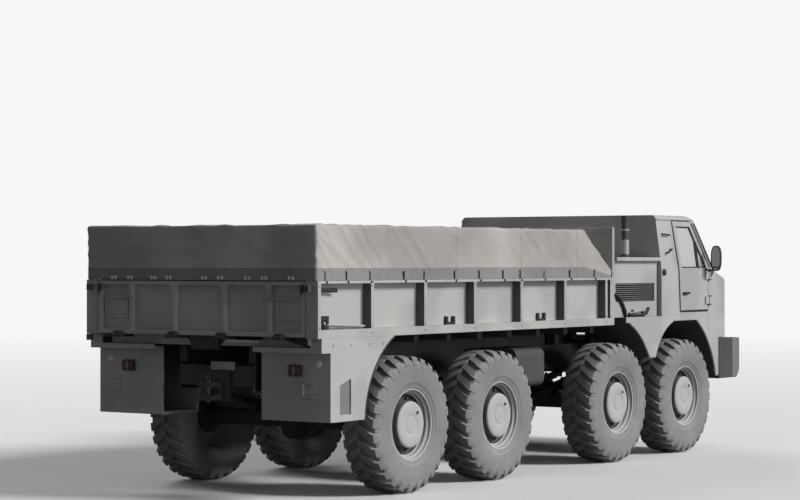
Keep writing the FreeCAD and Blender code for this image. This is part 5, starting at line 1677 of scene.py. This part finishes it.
@dataclass(frozen=True)
class Studio:
    """The pale floor, the lights and the photograph's camera."""

    eye: Point = (-21.325, -13.938, 2.294)
    yaw: float = 0.601
    pitch: float = -0.005
    lens: float = 101.6
    sensor: float = 36.0
    suns: tuple[tuple[str, Point, float, float], ...] = (
        ("key", (7.0, -20.0, 13.0), 2.95, 0.30), ("fill", (9.0, 16.0, 9.0), 1.1, 0.8),
        ("low", (-1.0, -20.0, 1.6), 0.55, 0.25))
    sky: float = 0.17
    floor_radius: float = 90.0
    white: Colour = grey(247, 1)
    floor_seen: Colour = grey(243, 1)
    floor_bounced: Colour = grey(100, 1)

    def camera(self) -> None:
        """Places the camera as the photograph's fit gives it."""
        data = bpy.data.cameras.new("photo camera")
        data.lens, data.sensor_width, data.clip_end = self.lens, self.sensor, 300.0
        level = math.cos(self.pitch)
        look = Vector((level * math.cos(self.yaw), level * math.sin(self.yaw), -math.sin(self.pitch)))
        camera = bpy.data.objects.new("photo camera", data)
        camera.location = self.eye
        camera.rotation_euler = look.to_track_quat("-Z", "Y").to_euler()
        bpy.context.scene.collection.objects.link(camera)
        bpy.context.scene.camera = camera

    def floor_material(self) -> Material:
        """Makes a pale floor that throws less light back on the truck than the camera sees.

        Returns:
            The material.
        """
        b = Surface("Pale floor")
        seen_by_camera = b.add("LightPath").outputs["Is Camera Ray"]
        tone = b.spread(b.noise(0.5, 3.0), 0.3, 0.7)
        pale = b.mix(tone, self.floor_seen, tuple(part * 0.97 for part in self.floor_seen))
        b.fill(b.shader, {"Base Color": b.mix(seen_by_camera, self.floor_bounced, pale), "Roughness": 0.9})
        reach = b.add("VectorMath", {0: b.place}, operation="LENGTH").outputs["Value"]
        far = b.add("Emission", {"Color": self.white}).outputs[0]
        away = b.math("MULTIPLY", b.spread(reach, 9.0, 46.0), seen_by_camera)
        fade = b.add("MixShader", {0: away, 1: b.shader.outputs[0], 2: far})
        b.fill(b.tree.nodes["Material Output"], {"Surface": fade.outputs[0]})
        return b.material

    def floor(self) -> None:
        """Lays the floor at the ground."""
        bm = bmesh.new()
        bmesh.ops.create_circle(bm, cap_ends=True, segments=96, radius=self.floor_radius)
        mesh = bpy.data.meshes.new("floor")
        bm.to_mesh(mesh)
        bm.free()
        mesh.materials.append(self.floor_material())
        floor = bpy.data.objects.new("floor", mesh)
        bpy.context.scene.collection.objects.link(floor)

    def world(self) -> None:
        """Sets an even sky that shows white to the camera."""
        world = bpy.data.worlds.new("studio")
        world.use_nodes = True
        bpy.context.scene.world = world
        b = NodeTree(world.node_tree)
        plain = world.node_tree.nodes["Background"]
        b.fill(plain, {"Color": grey(240, -1), "Strength": self.sky})
        seen = b.add("Background", {"Color": self.white}).outputs[0]
        seen_by_camera = b.add("LightPath").outputs["Is Camera Ray"]
        pick = b.add("MixShader", {0: seen_by_camera, 1: plain.outputs[0], 2: seen})
        b.fill(world.node_tree.nodes["World Output"], {"Surface": pick.outputs[0]})

    def lamps(self) -> None:
        """Sets a key light at the right, a fill at the left and a low one that reaches under the bed."""
        for name, place, power, spread in self.suns:
            data = bpy.data.lights.new(name, "SUN")
            data.energy, data.angle = power, spread
            lamp = bpy.data.objects.new(name, data)
            lamp.location = place
            lamp.rotation_euler = Vector(place).to_track_quat("Z", "Y").to_euler()
            bpy.context.scene.collection.objects.link(lamp)

    def build(self) -> None:
        """Sets the whole stage."""
        bpy.context.scene.view_settings.view_transform = "Standard"
        self.camera()
        self.floor()
        self.world()
        self.lamps()


def main() -> None:
    """Dresses the truck and sets the stage."""
    logging.basicConfig(level=logging.INFO, format="%(name)s: %(message)s")
    paints = Paints()
    paints.dress_nodes()
    RunningGear(paints).build()
    Bodywork().build(paints)
    Tilt(paints).build()
    CabTrim(paints).build()
    Fittings(paints).build()
    Studio().build()


if __name__ == "__main__":
    main()
